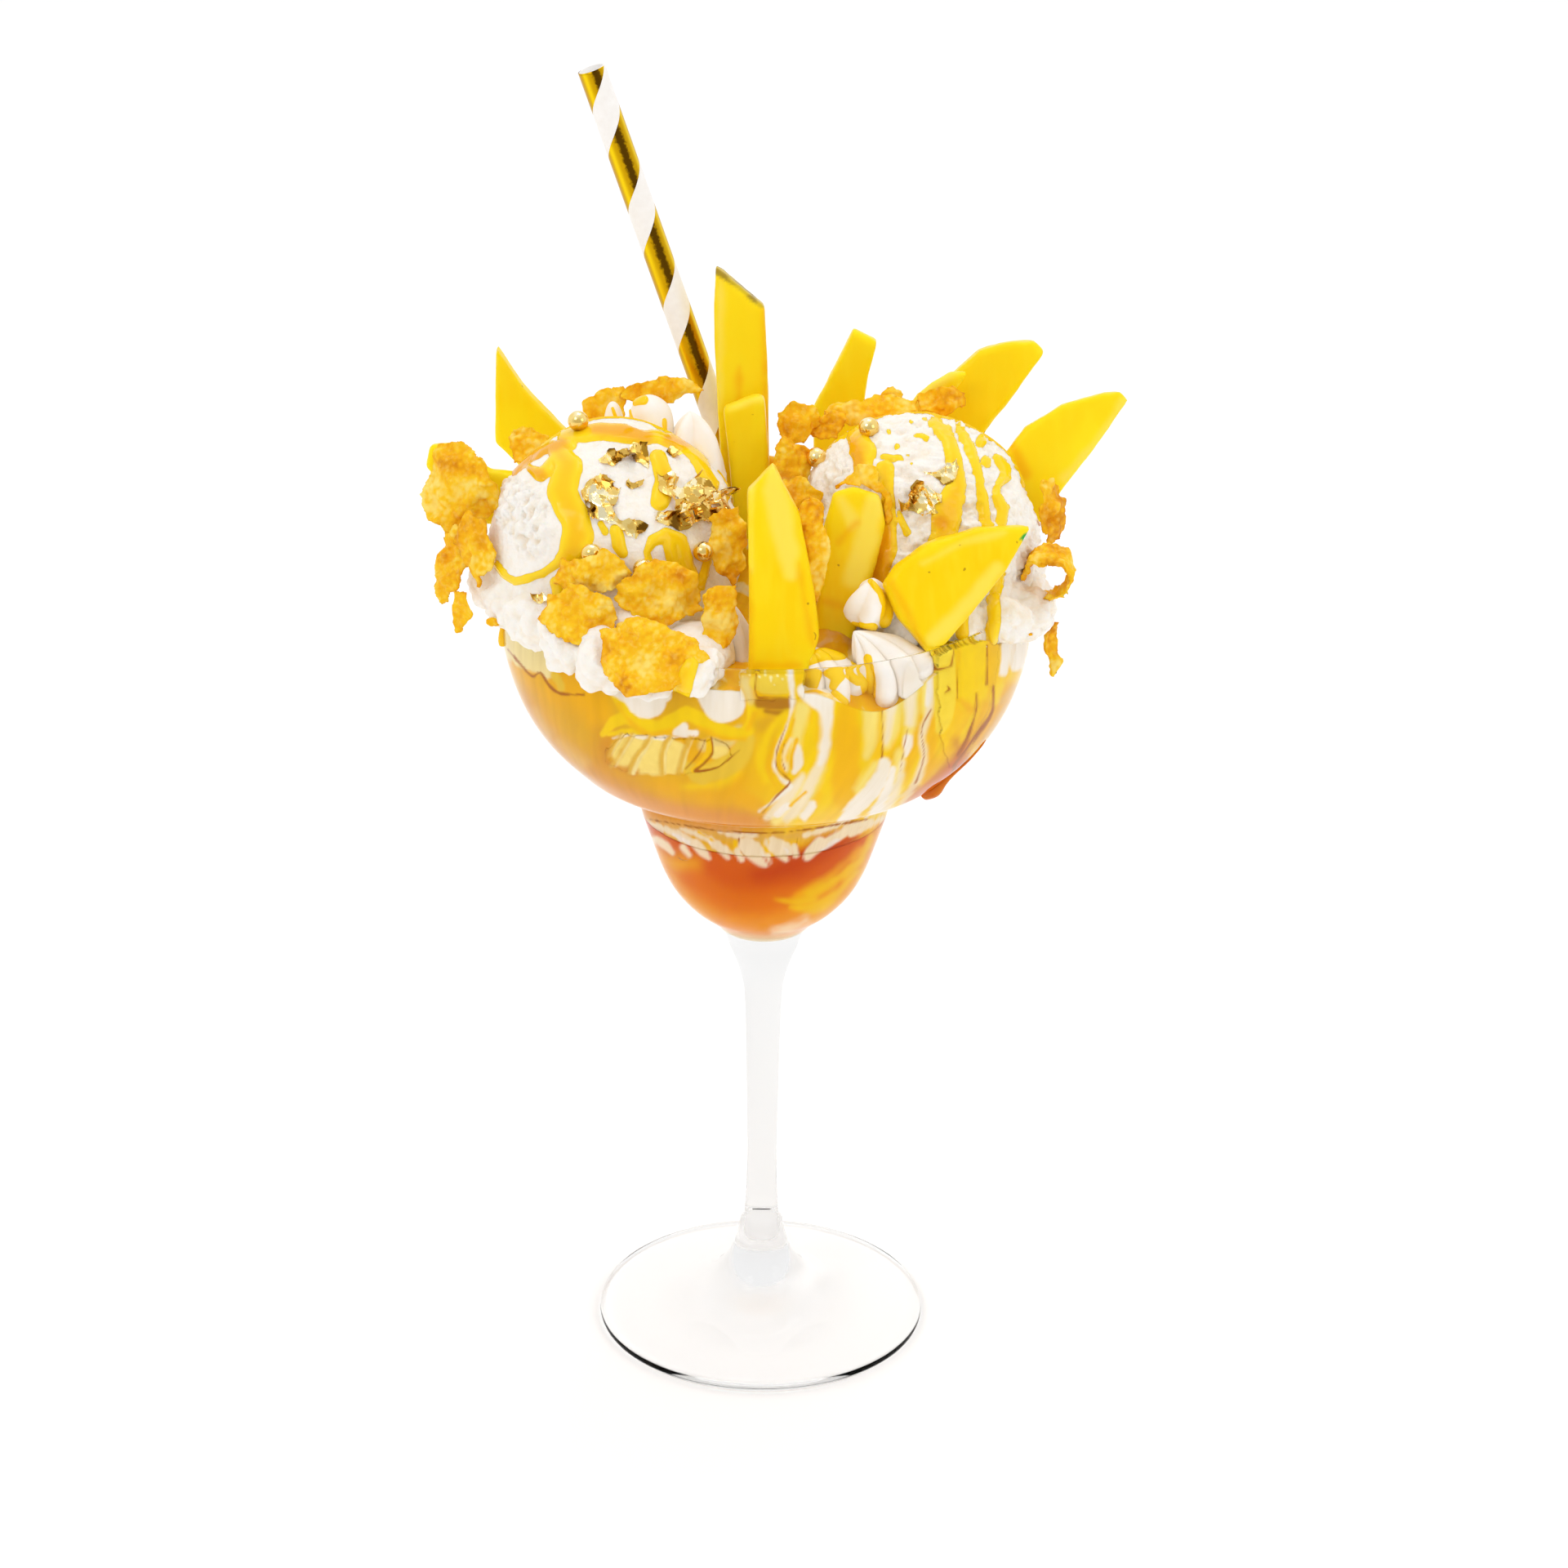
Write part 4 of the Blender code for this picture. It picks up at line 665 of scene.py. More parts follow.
def face_out(obj):
    return edited(obj, lambda bm: bmesh.ops.recalc_face_normals(bm, faces=bm.faces))


def rows_of(items, field):
    """A field of three numbers of a mesh's items, one row for each."""
    flat = np.empty(len(items) * 3)
    items.foreach_get(field, flat)
    return flat.reshape(-1, 3)


def points_of(obj):
    """The mesh's points in millimetres."""
    return rows_of(obj.data.vertices, "co") / MM


def normals_of(obj):
    return rows_of(obj.data.vertex_normals, "vector")


def move_points(obj, points):
    obj.data.vertices.foreach_set("co", (points * MM).ravel())
    obj.data.update()


def keep(obj, name, values, kind="FLOAT", field="value"):
    """Stores a value for each point, for the material to read."""
    layer = obj.data.attributes.get(name) or obj.data.attributes.new(name, kind, "POINT")
    layer.data.foreach_set(field, np.asarray(values, np.float32).ravel())


def keep_paint(obj, colours):
    keep(obj, "paint", np.column_stack([colours, np.ones(len(colours))]), "FLOAT_COLOR", "color")


def settle(obj, smooth=True):
    """Replaces the object's mesh with its evaluated one."""
    bpy.context.view_layer.update()
    mesh = bpy.data.meshes.new_from_object(obj.evaluated_get(bpy.context.evaluated_depsgraph_get()))
    obj.modifiers.clear()
    obj.data = mesh
    if smooth:
        mesh.shade_smooth()
    return obj


def thickened(obj, thickness, offset, smooth=True):
    """The object as a sheet of a thickness in millimetres, to the side that offset says."""
    modifier = obj.modifiers.new("thickness", "SOLIDIFY")
    modifier.thickness, modifier.offset = thickness * MM, offset
    return settle(obj, smooth)


def remesh(obj, voxel, smoothing):
    """One even skin round everything in the object."""
    modifier = obj.modifiers.new("skin", "REMESH")
    modifier.mode, modifier.voxel_size = "VOXEL", voxel * MM
    relax = obj.modifiers.new("relax", "SMOOTH")
    relax.iterations, relax.factor = smoothing, 0.5
    return settle(obj)


def remeshed_node(node, name, voxel, smoothing):
    """A new object with an even skin over the mesh of a CAD node, its points and its normals."""
    obj = bpy.data.objects.new(name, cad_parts[node].data.copy())
    bpy.context.scene.collection.objects.link(obj)
    remesh(obj, voxel, smoothing)
    return obj, points_of(obj), normals_of(obj)


class Rings:
    """Rings of points, each skinned to the next. A ring of one point is a pole."""

    def __init__(self):
        self.points, self.rings = [], []

    def add(self, ring):
        start = sum(len(one) for one in self.points)
        self.points.append(np.asarray(ring, float))
        self.rings.append(list(range(start, start + len(ring))))

    def spots(self):
        return np.vstack(self.points)

    def faces(self, closed=False):
        faces = []
        rings = self.rings + self.rings[:1] if closed else self.rings
        for low, high in zip(rings, rings[1:]):
            count = max(len(low), len(high))
            for i in range(count):
                j = (i + 1) % count
                if len(low) == 1:
                    faces.append((low[0], high[j], high[i]))
                elif len(high) == 1:
                    faces.append((low[i], low[j], high[0]))
                else:
                    faces.append((low[i], low[j], high[j], high[i]))
        return faces


def turned(name, profile, sides):
    """A profile of (height, radius) turned round the axis."""
    angles = np.arange(sides) * math.tau / sides
    rings = Rings()
    for z, r in profile:
        rings.add([(0.0, 0.0, z)] if r < 1e-6 else [(r * math.cos(a), r * math.sin(a), z) for a in angles])
    return face_out(make_mesh(name, rings.spots(), rings.faces()))


def joined(parts):
    """Points and faces of several meshes as those of one."""
    clouds, faces = [], []
    for points, skin in parts:
        base = sum(len(cloud) for cloud in clouds)
        clouds.append(points)
        faces += [[i + base for i in face] for face in skin]
    return np.vstack(clouds), faces


def ball_points(middle, half, seed, detail):
    """Points and faces of an uneven ball."""
    bm = bmesh.new()
    bmesh.ops.create_icosphere(bm, subdivisions=detail, radius=1.0)
    spots = np.array([v.co[:] for v in bm.verts])
    faces = [[v.index for v in f.verts] for f in bm.faces]
    bm.free()
    grown = spots * half
    rough = 1 + 0.05 * layered_noise(grown + seed * 31.7, half[0] * 0.6, 2, seed)[:, None]
    return grown * rough + np.array(middle), faces


def smooth_run(points, steps):
    """A smooth curve through points."""
    points = np.asarray(points, float)
    out = []
    for i in range(len(points) - 1):
        p0, p1, p2 = points[max(i - 1, 0)], points[i], points[i + 1]
        p3 = points[min(i + 2, len(points) - 1)]
        for k in range(steps):
            t = k / steps
            out.append(0.5 * (2 * p1 + (p2 - p0) * t + (2 * p0 - 5 * p1 + 4 * p2 - p3) * t**2
                              + (3 * p1 - p0 - 3 * p2 + p3) * t**3))
    out.append(points[-1])
    return np.array(out)


def evened(obj, values, rounds):
    """A value of each point evened out with those of the points joined to it."""
    ends = np.empty(len(obj.data.edges) * 2, int)
    obj.data.edges.foreach_get("vertices", ends)
    one, two = ends.reshape(-1, 2).T
    here, there = np.concatenate([one, two]), np.concatenate([two, one])
    joints = np.bincount(here, minlength=len(values))
    for _ in range(rounds):
        around = np.column_stack([
            np.bincount(here, weights=values[there, axis], minlength=len(values)) for axis in range(3)])
        values = np.where(joints[:, None] == 0, values, around / np.maximum(joints, 1)[:, None])
    return values


def add_piece(obj, material, replaced=()):
    """Gives a finished piece its material and body, and hides the nodes that it stands for."""
    obj.data.materials.clear()
    obj.data.materials.append(material)
    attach(obj, BODY)
    if replaced:
        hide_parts(*replaced)
    return obj


# Materials

class Nodes:
    """A short way to build a material's nodes."""

    def __init__(self, name, **sockets):
        self.material = bpy.data.materials.new(name)
        self.material.use_nodes = True
        self.tree = self.material.node_tree
        self.shader = self.tree.nodes["Principled BSDF"]
        for socket, value in sockets.items():
            self.shader.inputs[socket.replace("_", " ")].default_value = value

    def put(self, source, socket):
        self.tree.links.new(source, self.shader.inputs[socket])

    def new(self, kind, links=None, **values):
        node = self.tree.nodes.new(kind)
        for key, value in values.items():
            setattr(node, key, value)
        for socket, source in (links or {}).items():
            if hasattr(source, "is_output"):
                self.tree.links.new(source, node.inputs[socket])
            else:
                node.inputs[socket].default_value = source
        return node

    def place(self):
        return self.new("ShaderNodeTexCoord").outputs["Object"]

    def value(self, name, output="Fac"):
        return self.new("ShaderNodeAttribute", attribute_name=name).outputs[output]

    def noise(self, scale, detail, stretch=None, distortion=0.0, along=None):
        source = self.place() if along is None else self.value(along, "Vector")
        if stretch:
            source = self.new("ShaderNodeMapping", {"Vector": source, "Scale": stretch}).outputs["Vector"]
        links = {"Vector": source, "Scale": scale, "Detail": detail, "Distortion": distortion}
        return self.new("ShaderNodeTexNoise", links).outputs["Fac"]

    def ramp(self, source, *stops):
        node = self.new("ShaderNodeValToRGB", {"Fac": source})
        elements = node.color_ramp.elements
        while len(elements) < len(stops):
            elements.new(0.5)
        for element, (spot, colour) in zip(elements, stops):
            element.position = spot
            element.color = (*colour, 1) if isinstance(colour, tuple) else (colour, colour, colour, 1)
        return node.outputs["Color"]

    def mix(self, share, a, b, blend="MIX"):
        a, b = ((*tone, 1) if isinstance(tone, tuple) else tone for tone in (a, b))
        links = {0: share, 6: a, 7: b}
        return self.new("ShaderNodeMix", links, data_type="RGBA", blend_type=blend).outputs[2]

    def math(self, operation, a, b):
        return self.new("ShaderNodeMath", {0: a, 1: b}, operation=operation).outputs[0]

    def done(self, colour, height, strength, distance):
        """The material with its colour, and a relief that is as deep as distance in millimetres."""
        links = {"Height": height, "Strength": strength, "Distance": distance * MM}
        self.put(colour, "Base Color")
        self.put(self.new("ShaderNodeBump", links).outputs["Normal"], "Normal")
        return self.material


def glass_material():
    nodes = Nodes("clear_glass", Roughness=0.0, IOR=1.18, Transmission_Weight=1.0)
    height = nodes.new("ShaderNodeSeparateXYZ", {0: nodes.place()}).outputs["Z"]
    # Painted shade: the glass greyer by height, most over the stem
    glass_shade = nodes.ramp(nodes.math("MULTIPLY", height, 5.0), *GLASS_SHADE)
    volume = nodes.new("ShaderNodeVolumeAbsorption", {"Color": (0.2, 0.2, 0.2, 1), "Density": 3.0})
    nodes.tree.links.new(volume.outputs[0], nodes.tree.nodes["Material Output"].inputs["Volume"])
    return nodes.done(glass_shade, nodes.noise(40.0, 1.0), 0.02, 0.3)


def contents_material():
    """Cream and sauce pressed against the glass: painted at the front, veined by the drape elsewhere."""
    nodes = Nodes("marbled_cream", Roughness=0.4, Specular_IOR_Level=0.06)
    seen = {name: tuple(float(part) for part in behind_glass(colour)) for name, colour in SEEN.items()}
    veins = nodes.ramp(
        nodes.noise(190.0, 4.0, None, 0.4, "drape"), *((spot, seen[name]) for spot, name in MARBLE_VEINS))
    above = nodes.ramp(
        nodes.noise(130.0, 4.0, None, 0.6), (0.36, (0.86, 0.40, 0.004)), (0.52, (0.94, 0.56, 0.006)),
        (0.57, (0.95, 0.78, 0.36)), (0.63, (0.93, 0.86, 0.74)))
    # Painted shade: the sauce darker in the hollow between slices and kisses
    above = nodes.mix(nodes.math("MULTIPLY", nodes.value("hollow_shade"), 0.85), above, (0.72, 0.30, 0.004))
    streak = nodes.ramp(nodes.noise(520.0, 4.0, along="drape"), (0.35, (0.93, 0.91, 0.86)), (0.65, WHITE))
    colour = nodes.mix(nodes.value("marble"), nodes.value("paint", "Color"), veins)
    colour = nodes.mix(nodes.value("open_air"), colour, above)
    colour = nodes.mix(1.0, colour, streak, "MULTIPLY")
    return nodes.done(colour, nodes.noise(420.0, 4.0, along="drape"), 0.25, 0.4)


def painted_material(name, roughness, specular, grain, shade, relief, strength):
    """A thing pressed against the glass, with its paint point by point and a grain over it."""
    nodes = Nodes(name, Roughness=roughness, Specular_IOR_Level=specular)
    grained = nodes.ramp(nodes.noise(grain, 3.0), (shade[0], shade[1]), (1 - shade[0], WHITE))
    colour = nodes.mix(1.0, nodes.value("paint", "Color"), grained, "MULTIPLY")
    return nodes.done(colour, nodes.noise(*relief), strength, 0.2)


def drop_material(name, weight, depth, specular, scale, dark, light):
    """Glossy sauce or syrup that has run down."""
    nodes = Nodes(
        name, Roughness=0.12, Subsurface_Weight=weight, Subsurface_Scale=depth, Specular_IOR_Level=specular)
    colour = nodes.ramp(nodes.noise(scale, 2.0), (0.35, dark), (0.7, light))
    return nodes.done(colour, nodes.noise(250.0, 1.0), 0.1, 0.2)


def ice_material():
    """Ice cream, glossy yellow where sauce lies on it."""
    nodes = Nodes("ice_cream", Subsurface_Weight=0.18, Subsurface_Scale=0.003, Specular_IOR_Level=0.25,
                  Subsurface_Radius=(1.0, 0.75, 0.5))
    sauce = nodes.ramp(nodes.value("sauce"), *SAUCE_EDGE)
    white = nodes.ramp(
        nodes.noise(350.0, 5.0), (0.3, (0.90, 0.83, 0.72)), (0.5, (0.925, 0.88, 0.815)),
        (0.8, (0.94, 0.91, 0.86)))
    # Painted shade: pits, and cracks in the broken skirt, darker and warmer
    white = nodes.mix(nodes.math("MULTIPLY", nodes.value("pit_shade"), 0.45), white, (0.90, 0.74, 0.52))
    yellow = nodes.mix(nodes.value("thick"), (0.96, 0.66, 0.01), DEEP_YELLOW)
    yellow = nodes.mix(nodes.ramp(nodes.noise(90.0, 3.0), (0.4, 0.0), (0.7, 0.55)), yellow, YELLOW)
    yellow = nodes.mix(nodes.math("MULTIPLY", nodes.value("amber"), 0.8), yellow, (0.82, 0.34, 0.003))
    nodes.put(nodes.ramp(sauce, (0.0, 0.62), (1.0, 0.13)), "Roughness")
    grain = nodes.math("ADD", nodes.math("MULTIPLY", nodes.noise(1400.0, 3.0), 0.5), nodes.noise(620.0, 4.0))
    dry = nodes.math("SUBTRACT", 1.0, sauce)
    return nodes.done(nodes.mix(sauce, white, yellow), nodes.math("MULTIPLY", grain, dry), 0.65, 0.55)


def mango_material():
    nodes = Nodes("mango_flesh", Roughness=0.3, Subsurface_Weight=0.2, Subsurface_Scale=0.004,
                  Specular_IOR_Level=0.09, Subsurface_Radius=(1.0, 0.55, 0.08))
    broad = nodes.noise(55.0, 3.0, (1.0, 1.0, 0.35))
    fibre = nodes.noise(420.0, 3.0, (1.0, 1.0, 0.10))
    speck = nodes.ramp(nodes.noise(620.0, 0.0), (0.835, 0.0), (0.86, 0.6))
    flesh = nodes.ramp(
        broad, (0.3, (0.94, 0.57, 0.001)), (0.5, (0.955, 0.635, 0.001)), (0.75, (0.965, 0.70, 0.004)))
    for share, colour in (
            (nodes.ramp(fibre, (0.42, 0.0), (0.7, 0.35)), (0.97, 0.74, 0.02)),
            # Painted light on the back slices, with a random lighter tone
            (nodes.value("face"), (0.975, 0.79, 0.012)),
            # Painted light, then painted shade, on the fruit's faces and edges
            (nodes.math("MULTIPLY", nodes.value("painted_light"), 0.85), (0.975, 0.76, 0.09)),
            (nodes.math("MULTIPLY", nodes.value("deep"), 0.7), (0.90, 0.44, 0.001)),
            (speck, (0.30, 0.10, 0.005)),
            (nodes.value("brown_skin"), (0.36, 0.24, 0.02)),
            (nodes.value("green_skin"), (0.03, 0.36, 0.05))):
        flesh = nodes.mix(share, flesh, colour)
    return nodes.done(flesh, fibre, 0.18, 0.25)


def flake_material():
    nodes = Nodes("toasted_flake", Roughness=0.5, Subsurface_Weight=0.08, Subsurface_Scale=0.002,
                  Specular_IOR_Level=0.1)
    golden = nodes.ramp(
        nodes.value("toast"), (0.0, (0.97, 0.73, 0.16)), (0.33, (0.94, 0.56, 0.012)),
        (0.62, (0.88, 0.42, 0.004)), (1.0, (0.62, 0.21, 0.003)))
    fine = nodes.ramp(nodes.noise(900.0, 4.0), (0.5, 0.0), (0.75, 0.35))
    golden = nodes.mix(fine, golden, (0.98, 0.72, 0.18))
    return nodes.done(golden, nodes.noise(1100.0, 5.0), 0.6, 0.35)


def meringue_material():
    nodes = Nodes("meringue", Subsurface_Weight=0.15, Subsurface_Scale=0.003, Specular_IOR_Level=0.25,
                  Subsurface_Radius=(1.0, 0.8, 0.6))
    white = nodes.ramp(nodes.noise(200.0, 3.0), (0.3, (0.91, 0.83, 0.73)), (0.6, (0.94, 0.89, 0.83)))
    # Painted shade in the grooves of the piping
    white = nodes.mix(nodes.value("groove"), white, (0.84, 0.66, 0.42))
    sauce = nodes.ramp(nodes.value("sauce"), *SAUCE_EDGE)
    nodes.put(nodes.ramp(sauce, (0.0, 0.55), (1.0, 0.13)), "Roughness")
    return nodes.done(nodes.mix(sauce, white, YELLOW), nodes.noise(900.0, 3.0), 0.15, 0.2)


def gold_material(name, roughness, crumple):
    """Gold with painted reflections: its facets dark, golden or bright by their tilt."""
    nodes = Nodes(name, Metallic=1.0, Roughness=roughness)
    tilt = nodes.ramp(nodes.value("tilt"), (0.0, (0.16, 0.07, 0.006)), (0.2, (0.42, 0.22, 0.02)),
                      (0.42, (0.84, 0.55, 0.13)), (0.72, (0.95, 0.72, 0.26)), (0.9, (1.0, 0.90, 0.58)))
    return nodes.done(tilt, nodes.noise(1100.0, 2.0), crumple, 0.15)


def straw_material():
    """White paper with a spiral band of gold foil, by the straw's own length and angle."""
    nodes = Nodes("striped_paper")
    foil = nodes.ramp(nodes.value("band"), (0.495, 0.0), (0.505, 1.0))
    # Painted reflections: the foil brighter and darker in streaks round the straw
    gold = nodes.mix(nodes.value("bright"), (0.56, 0.31, 0.003), (0.90, 0.62, 0.008))
    uneven = nodes.math("SUBTRACT", nodes.math("ADD", nodes.value("dark"), nodes.noise(1500.0, 3.0)), 0.5)
    gold = nodes.mix(nodes.ramp(uneven, (0.3, 0.0), (0.75, 1.0)), gold, (0.10, 0.045, 0.002))
    paper = nodes.ramp(nodes.noise(600.0, 3.0), (0.3, (0.90, 0.87, 0.84)), (0.7, (0.94, 0.92, 0.90)))
    nodes.put(foil, "Metallic")
    nodes.put(nodes.ramp(foil, (0.0, 0.6), (1.0, 0.3)), "Roughness")
    return nodes.done(nodes.mix(foil, paper, gold), nodes.noise(1200.0, 2.0), 0.06, 0.1)


# Glass

def outer_run():
    """The smooth outer outline, from the middle of the underside to just under the rim."""
    return np.vstack([FOOT, smooth_run(STEM_AND_SMALL_BOWL, 4), smooth_run(WIDE_BOWL, 4)])


def inner_run():
    """The inside of both bowls, from the floor up, one wall thickness in."""
    small = [(z, r) for z, r in STEM_AND_SMALL_BOWL if z >= 100]
    bowl = np.vstack([smooth_run(small, 4), smooth_run(WIDE_BOWL, 4)])
    along = np.gradient(bowl, axis=0)
    along /= np.linalg.norm(along, axis=1)[:, None]
    moved = np.column_stack([bowl[:, 0] + along[:, 1] * WALL, bowl[:, 1] - along[:, 0] * WALL])
    moved = moved[(moved[:, 1] > 6) & (moved[:, 0] > BOWL_FLOOR + 0.5)]
    moved = moved[np.concatenate([[True], np.diff(moved[:, 0]) > 0.02])]
    return np.vstack([[(BOWL_FLOOR, 0.0), (BOWL_FLOOR + 0.25, 4.0)], moved])


def inner_radius(z):
    """Radius of the inside at a height."""
    run = inner_run()[1:]
    return np.interp(z, run[:, 0], run[:, 1])


def make_glass():
    obj = turned("clear_glass", np.vstack([outer_run(), GLASS_LIP, inner_run()[::-1]]), GLASS_SIDES)
    add_piece(obj, glass_material(), ["glass"])


# Contents

def fill_height(x, y):
    """Top of the cream."""
    rise, across, along = FILL_RIPPLE
    ripple = rise * np.sin(math.tau * x / across + 0.6) * np.cos(math.tau * y / along - 0.4)
    swells = (
        rise * np.exp(-((x - at_x) ** 2 + (y - at_y) ** 2) / (2 * width**2))
        for (at_x, at_y), width, rise in FILL_SWELLS)
    return FILL_LEVEL + ripple + sum(swells)


def front_bearings():
    """Bearings across the front, closer together where the wall faces the camera."""
    even = np.linspace(-FRONT_SPAN, FRONT_SPAN, 2001)
    crowd = np.cumsum(np.maximum(np.cos(np.radians(even)), 0.45))
    crowd = (crowd - crowd[0]) / (crowd[-1] - crowd[0])
    return np.interp(np.arange(FRONT_COLUMNS) / FRONT_COLUMNS, crowd, even)


def make_contents():
    """The marbled cream, from the syrup up, pressed just into the wall of the glass."""
    back = np.linspace(FRONT_SPAN, 360 - FRONT_SPAN, BACK_COLUMNS, endpoint=False)
    bearing = np.radians(np.concatenate([front_bearings(), back]))
    sine, cosine = np.sin(bearing), -np.cos(bearing)
    rings, kinds = Rings(), []

    def add_ring(radius, z, kind):
        ring = [(0.0, 0.0, z)] if np.ndim(z) == 0 else np.column_stack([radius * sine, radius * cosine, z])
        rings.add(ring)
        kinds.append(np.full(len(ring), kind))

    add_ring(0, FILL_BOTTOM, UNDER)
    low = float(inner_radius(FILL_BOTTOM)) + REACH
    for share in UNDER_ROWS:
        add_ring(low * share, np.full(len(bearing), FILL_BOTTOM), UNDER)
    edge = inner_radius(np.full(len(bearing), FILL_LEVEL)) + REACH
    top = fill_height(edge * sine, edge * cosine)
    for share in np.linspace(0, 1, WALL_ROWS):
        z = FILL_BOTTOM + (top - FILL_BOTTOM) * share
        add_ring(inner_radius(z) + REACH, z, SIDE)
    for share in np.concatenate([[0.99], np.linspace(0.97, 0.04, TOP_ROWS)]):
        radius = edge * share
        add_ring(radius, fill_height(radius * sine, radius * cosine), TOP)
    add_ring(0, float(fill_height(0, 0)), TOP)
    spots, kind = rings.spots(), np.concatenate(kinds)
    obj = make_mesh("marbled_cream", spots, rings.faces())
    wall, up = kind == SIDE, kind == TOP
    rise = 0.9 * layered_noise(spots, 7.0, 3, 21) + 0.4 * smooth_noise(spots, 2.2, 22)
    spots[:, 2] += np.where(up, rise, 0)
    ruffle = 2.6 * np.abs(smooth_noise(spots, 6.0, 23)) + 1.1 * np.abs(smooth_noise(spots, 2.5, 24))
    low = ramp(FILL_BOTTOM + 4 - spots[:, 2], 0, 4)
    spots[:, 2] += np.where(up, 0, low * (1.6 - ruffle * 1.5))
    relief = 0.22 * layered_noise(drape_of(spots) * 0.5, 3.0, 3, 25)
    radius = np.hypot(spots[:, 0], spots[:, 1])
    fit = np.where(wall, (inner_radius(spots[:, 2]) + REACH + relief) / np.maximum(radius, 1), 1.0)
    spots[:, :2] *= fit[:, None]
    move_points(obj, spots)
    face_out(obj)
    paint_contents(obj, spots, wall, up)
    add_piece(obj, contents_material(), ["filling"])


def drape_of(spots):
    """Places moved along the way the cream hangs: it slides to the left as it goes down."""
    angle = np.arctan2(spots[:, 0], -spots[:, 1])
    angle = angle + np.radians(DRAPE_TWIST) * np.maximum(DRAPE_FROM - spots[:, 2], 0)
    return np.column_stack([50 * np.sin(angle), -50 * np.cos(angle), spots[:, 2] * DRAPE_STRETCH])


def behind_glass(seen):
    """The colour of a thing pressed against the glass that shows as the seen colour."""
    share = np.asarray(seen, float) / 255
    light = np.where(share > 0.04045, ((share + 0.055) / 1.055) ** 2.4, share / 12.92)
    light = np.maximum(light - SHINE, 0.0)
    return np.clip(light / (LET_THROUGH + TRAPPED * light), 0.001, 0.985)


def painted_over(colours, table, x, y, wobble, most):
    """Colours with a table's strokes laid on them. Soft strokes waver more, up to a softness of most."""
    for name, soft, strokes in table:
        strokes = [smooth_run(stroke, 3) if len(stroke) > 2 else stroke for stroke in strokes]
        share = ramp(-(stroke_gap(x, y, strokes) + wobble * min(soft, most)), -soft, soft)
        colours = colours + (behind_glass(SEEN[name]) - colours) * share[:, None]
    return colours


def blend(share, one, two):
    """One colour where the share is 0 and two where it is 1. A name is looked up among the seen colours."""
    one, two = (behind_glass(SEEN[tone]) if isinstance(tone, str) else tone for tone in (one, two))
    return one * (1 - share[:, None]) + two * share[:, None]


def wall_colours(spots):
    """Colours of what shows through the wall at points: soft gradients with painted strokes on them."""
    x, y = to_pixels(spots)
    drape = drape_of(spots)
    wobble = 1.2 * smooth_noise(spots, 2.5, 31) + 0.6 * smooth_noise(spots, 1.0, 32)
    wobble += 1.8 * smooth_noise(drape, 1.6, 33)
    patch = ramp(layered_noise(spots, 9.0, 3, 34), -0.5, 0.6)
    streak = ramp(layered_noise(drape, 1.4, 3, 35), -0.4, 0.8)
    left = blend(patch, "olive", "golden")
    right = blend(streak, "yellow", "bright")
    colours = blend(ramp(bearing_of(spots), -8, 4), left, right)
    colours = blend(ramp(RUFFLES_UNDER - spots[:, 2], 0, 4), colours, "ruffle")
    colours = painted_over(colours, WALL_PAINT + SMALL_BOWL_PAINT, x, y, wobble / 2, 2)
    foot = ramp(SYRUP_UNDER - spots[:, 2], 0, 3) * ramp(spots[:, 0], 2, 8)
    notch = ramp(-(stroke_gap(x, y, SYRUP_NOTCHES) + wobble), -2, 2)
    cream = ramp(-stroke_gap(x, y, SMALL_BOWL_PAINT[1][2]), -2, 2)
    return blend(np.maximum(foot * (1 - cream), notch), colours, syrup_colours(spots, colours))


def paint_contents(obj, spots, wall, up):
    """Painted where the photograph shows the wall, and marbled by the drape elsewhere."""
    x, y = to_pixels(spots)
    keep(obj, "drape", drape_of(spots) * MM, "FLOAT_VECTOR", "vector")
    keep(obj, "marble", np.where(wall, ramp(np.abs(bearing_of(spots)), *PAINT_ENDS), 1))
    keep(obj, "open_air", np.where(up, 1, 0))
    # Painted shade in the hollow between the slices and the kisses
    keep(obj, "hollow_shade", ramp(-stroke_gap(x, y, HOLLOW_SAUCE_AND_SHADE) + 2 * smooth_noise(spots, 2.5, 36), -8, 8))
    keep_paint(obj, wall_colours(spots))


def syrup_colours(spots, colours):
    """The paint of the syrup laid over colours, for points that face the front."""
    wobble = 2.0 * smooth_noise(spots, 4.0, 41) + 1.0 * smooth_noise(spots, 1.5, 42)
    return painted_over(colours, SYRUP_PAINT, *to_pixels(spots), wobble / 3, 4)


def make_syrup():
    """Syrup up to the ruffles of the cream, reaching into the wall, with painted shade: darker higher up,
    where it is deeper and under the cream.
    """
    heights = np.linspace(BOWL_FLOOR + 1.2, SYRUP_TOP, SYRUP_ROWS)
    side = [(z, float(inner_radius(z)) + WALL / 2) for z in heights]
    profile = [(BOWL_FLOOR - 0.3, 0.0), (BOWL_FLOOR - 0.2, 5.0), *side, (SYRUP_TOP, 0.0)]
    obj = turned("orange_syrup", profile, SYRUP_SIDES)
    spots = points_of(obj)
    levels, table = zip(*((z, behind_glass(SEEN[name])) for z, name in SYRUP_SHADE_BY_HEIGHT))
    height = spots[:, 2] + 0.8 * smooth_noise(spots, 6.0, 43)
    colours = np.column_stack([np.interp(height, levels, tones) for tones in zip(*table)])
    keep_paint(obj, blend(ramp(-spots[:, 1], -2, 4), colours, syrup_colours(spots, colours)))
    material = painted_material(
        "orange_syrup", 0.3, 0.04, 160.0, (0.3, (0.96, 0.93, 0.9)), (200.0, 1.0), 0.03)
    add_piece(obj, material, ["syrup"])


# Ice cream

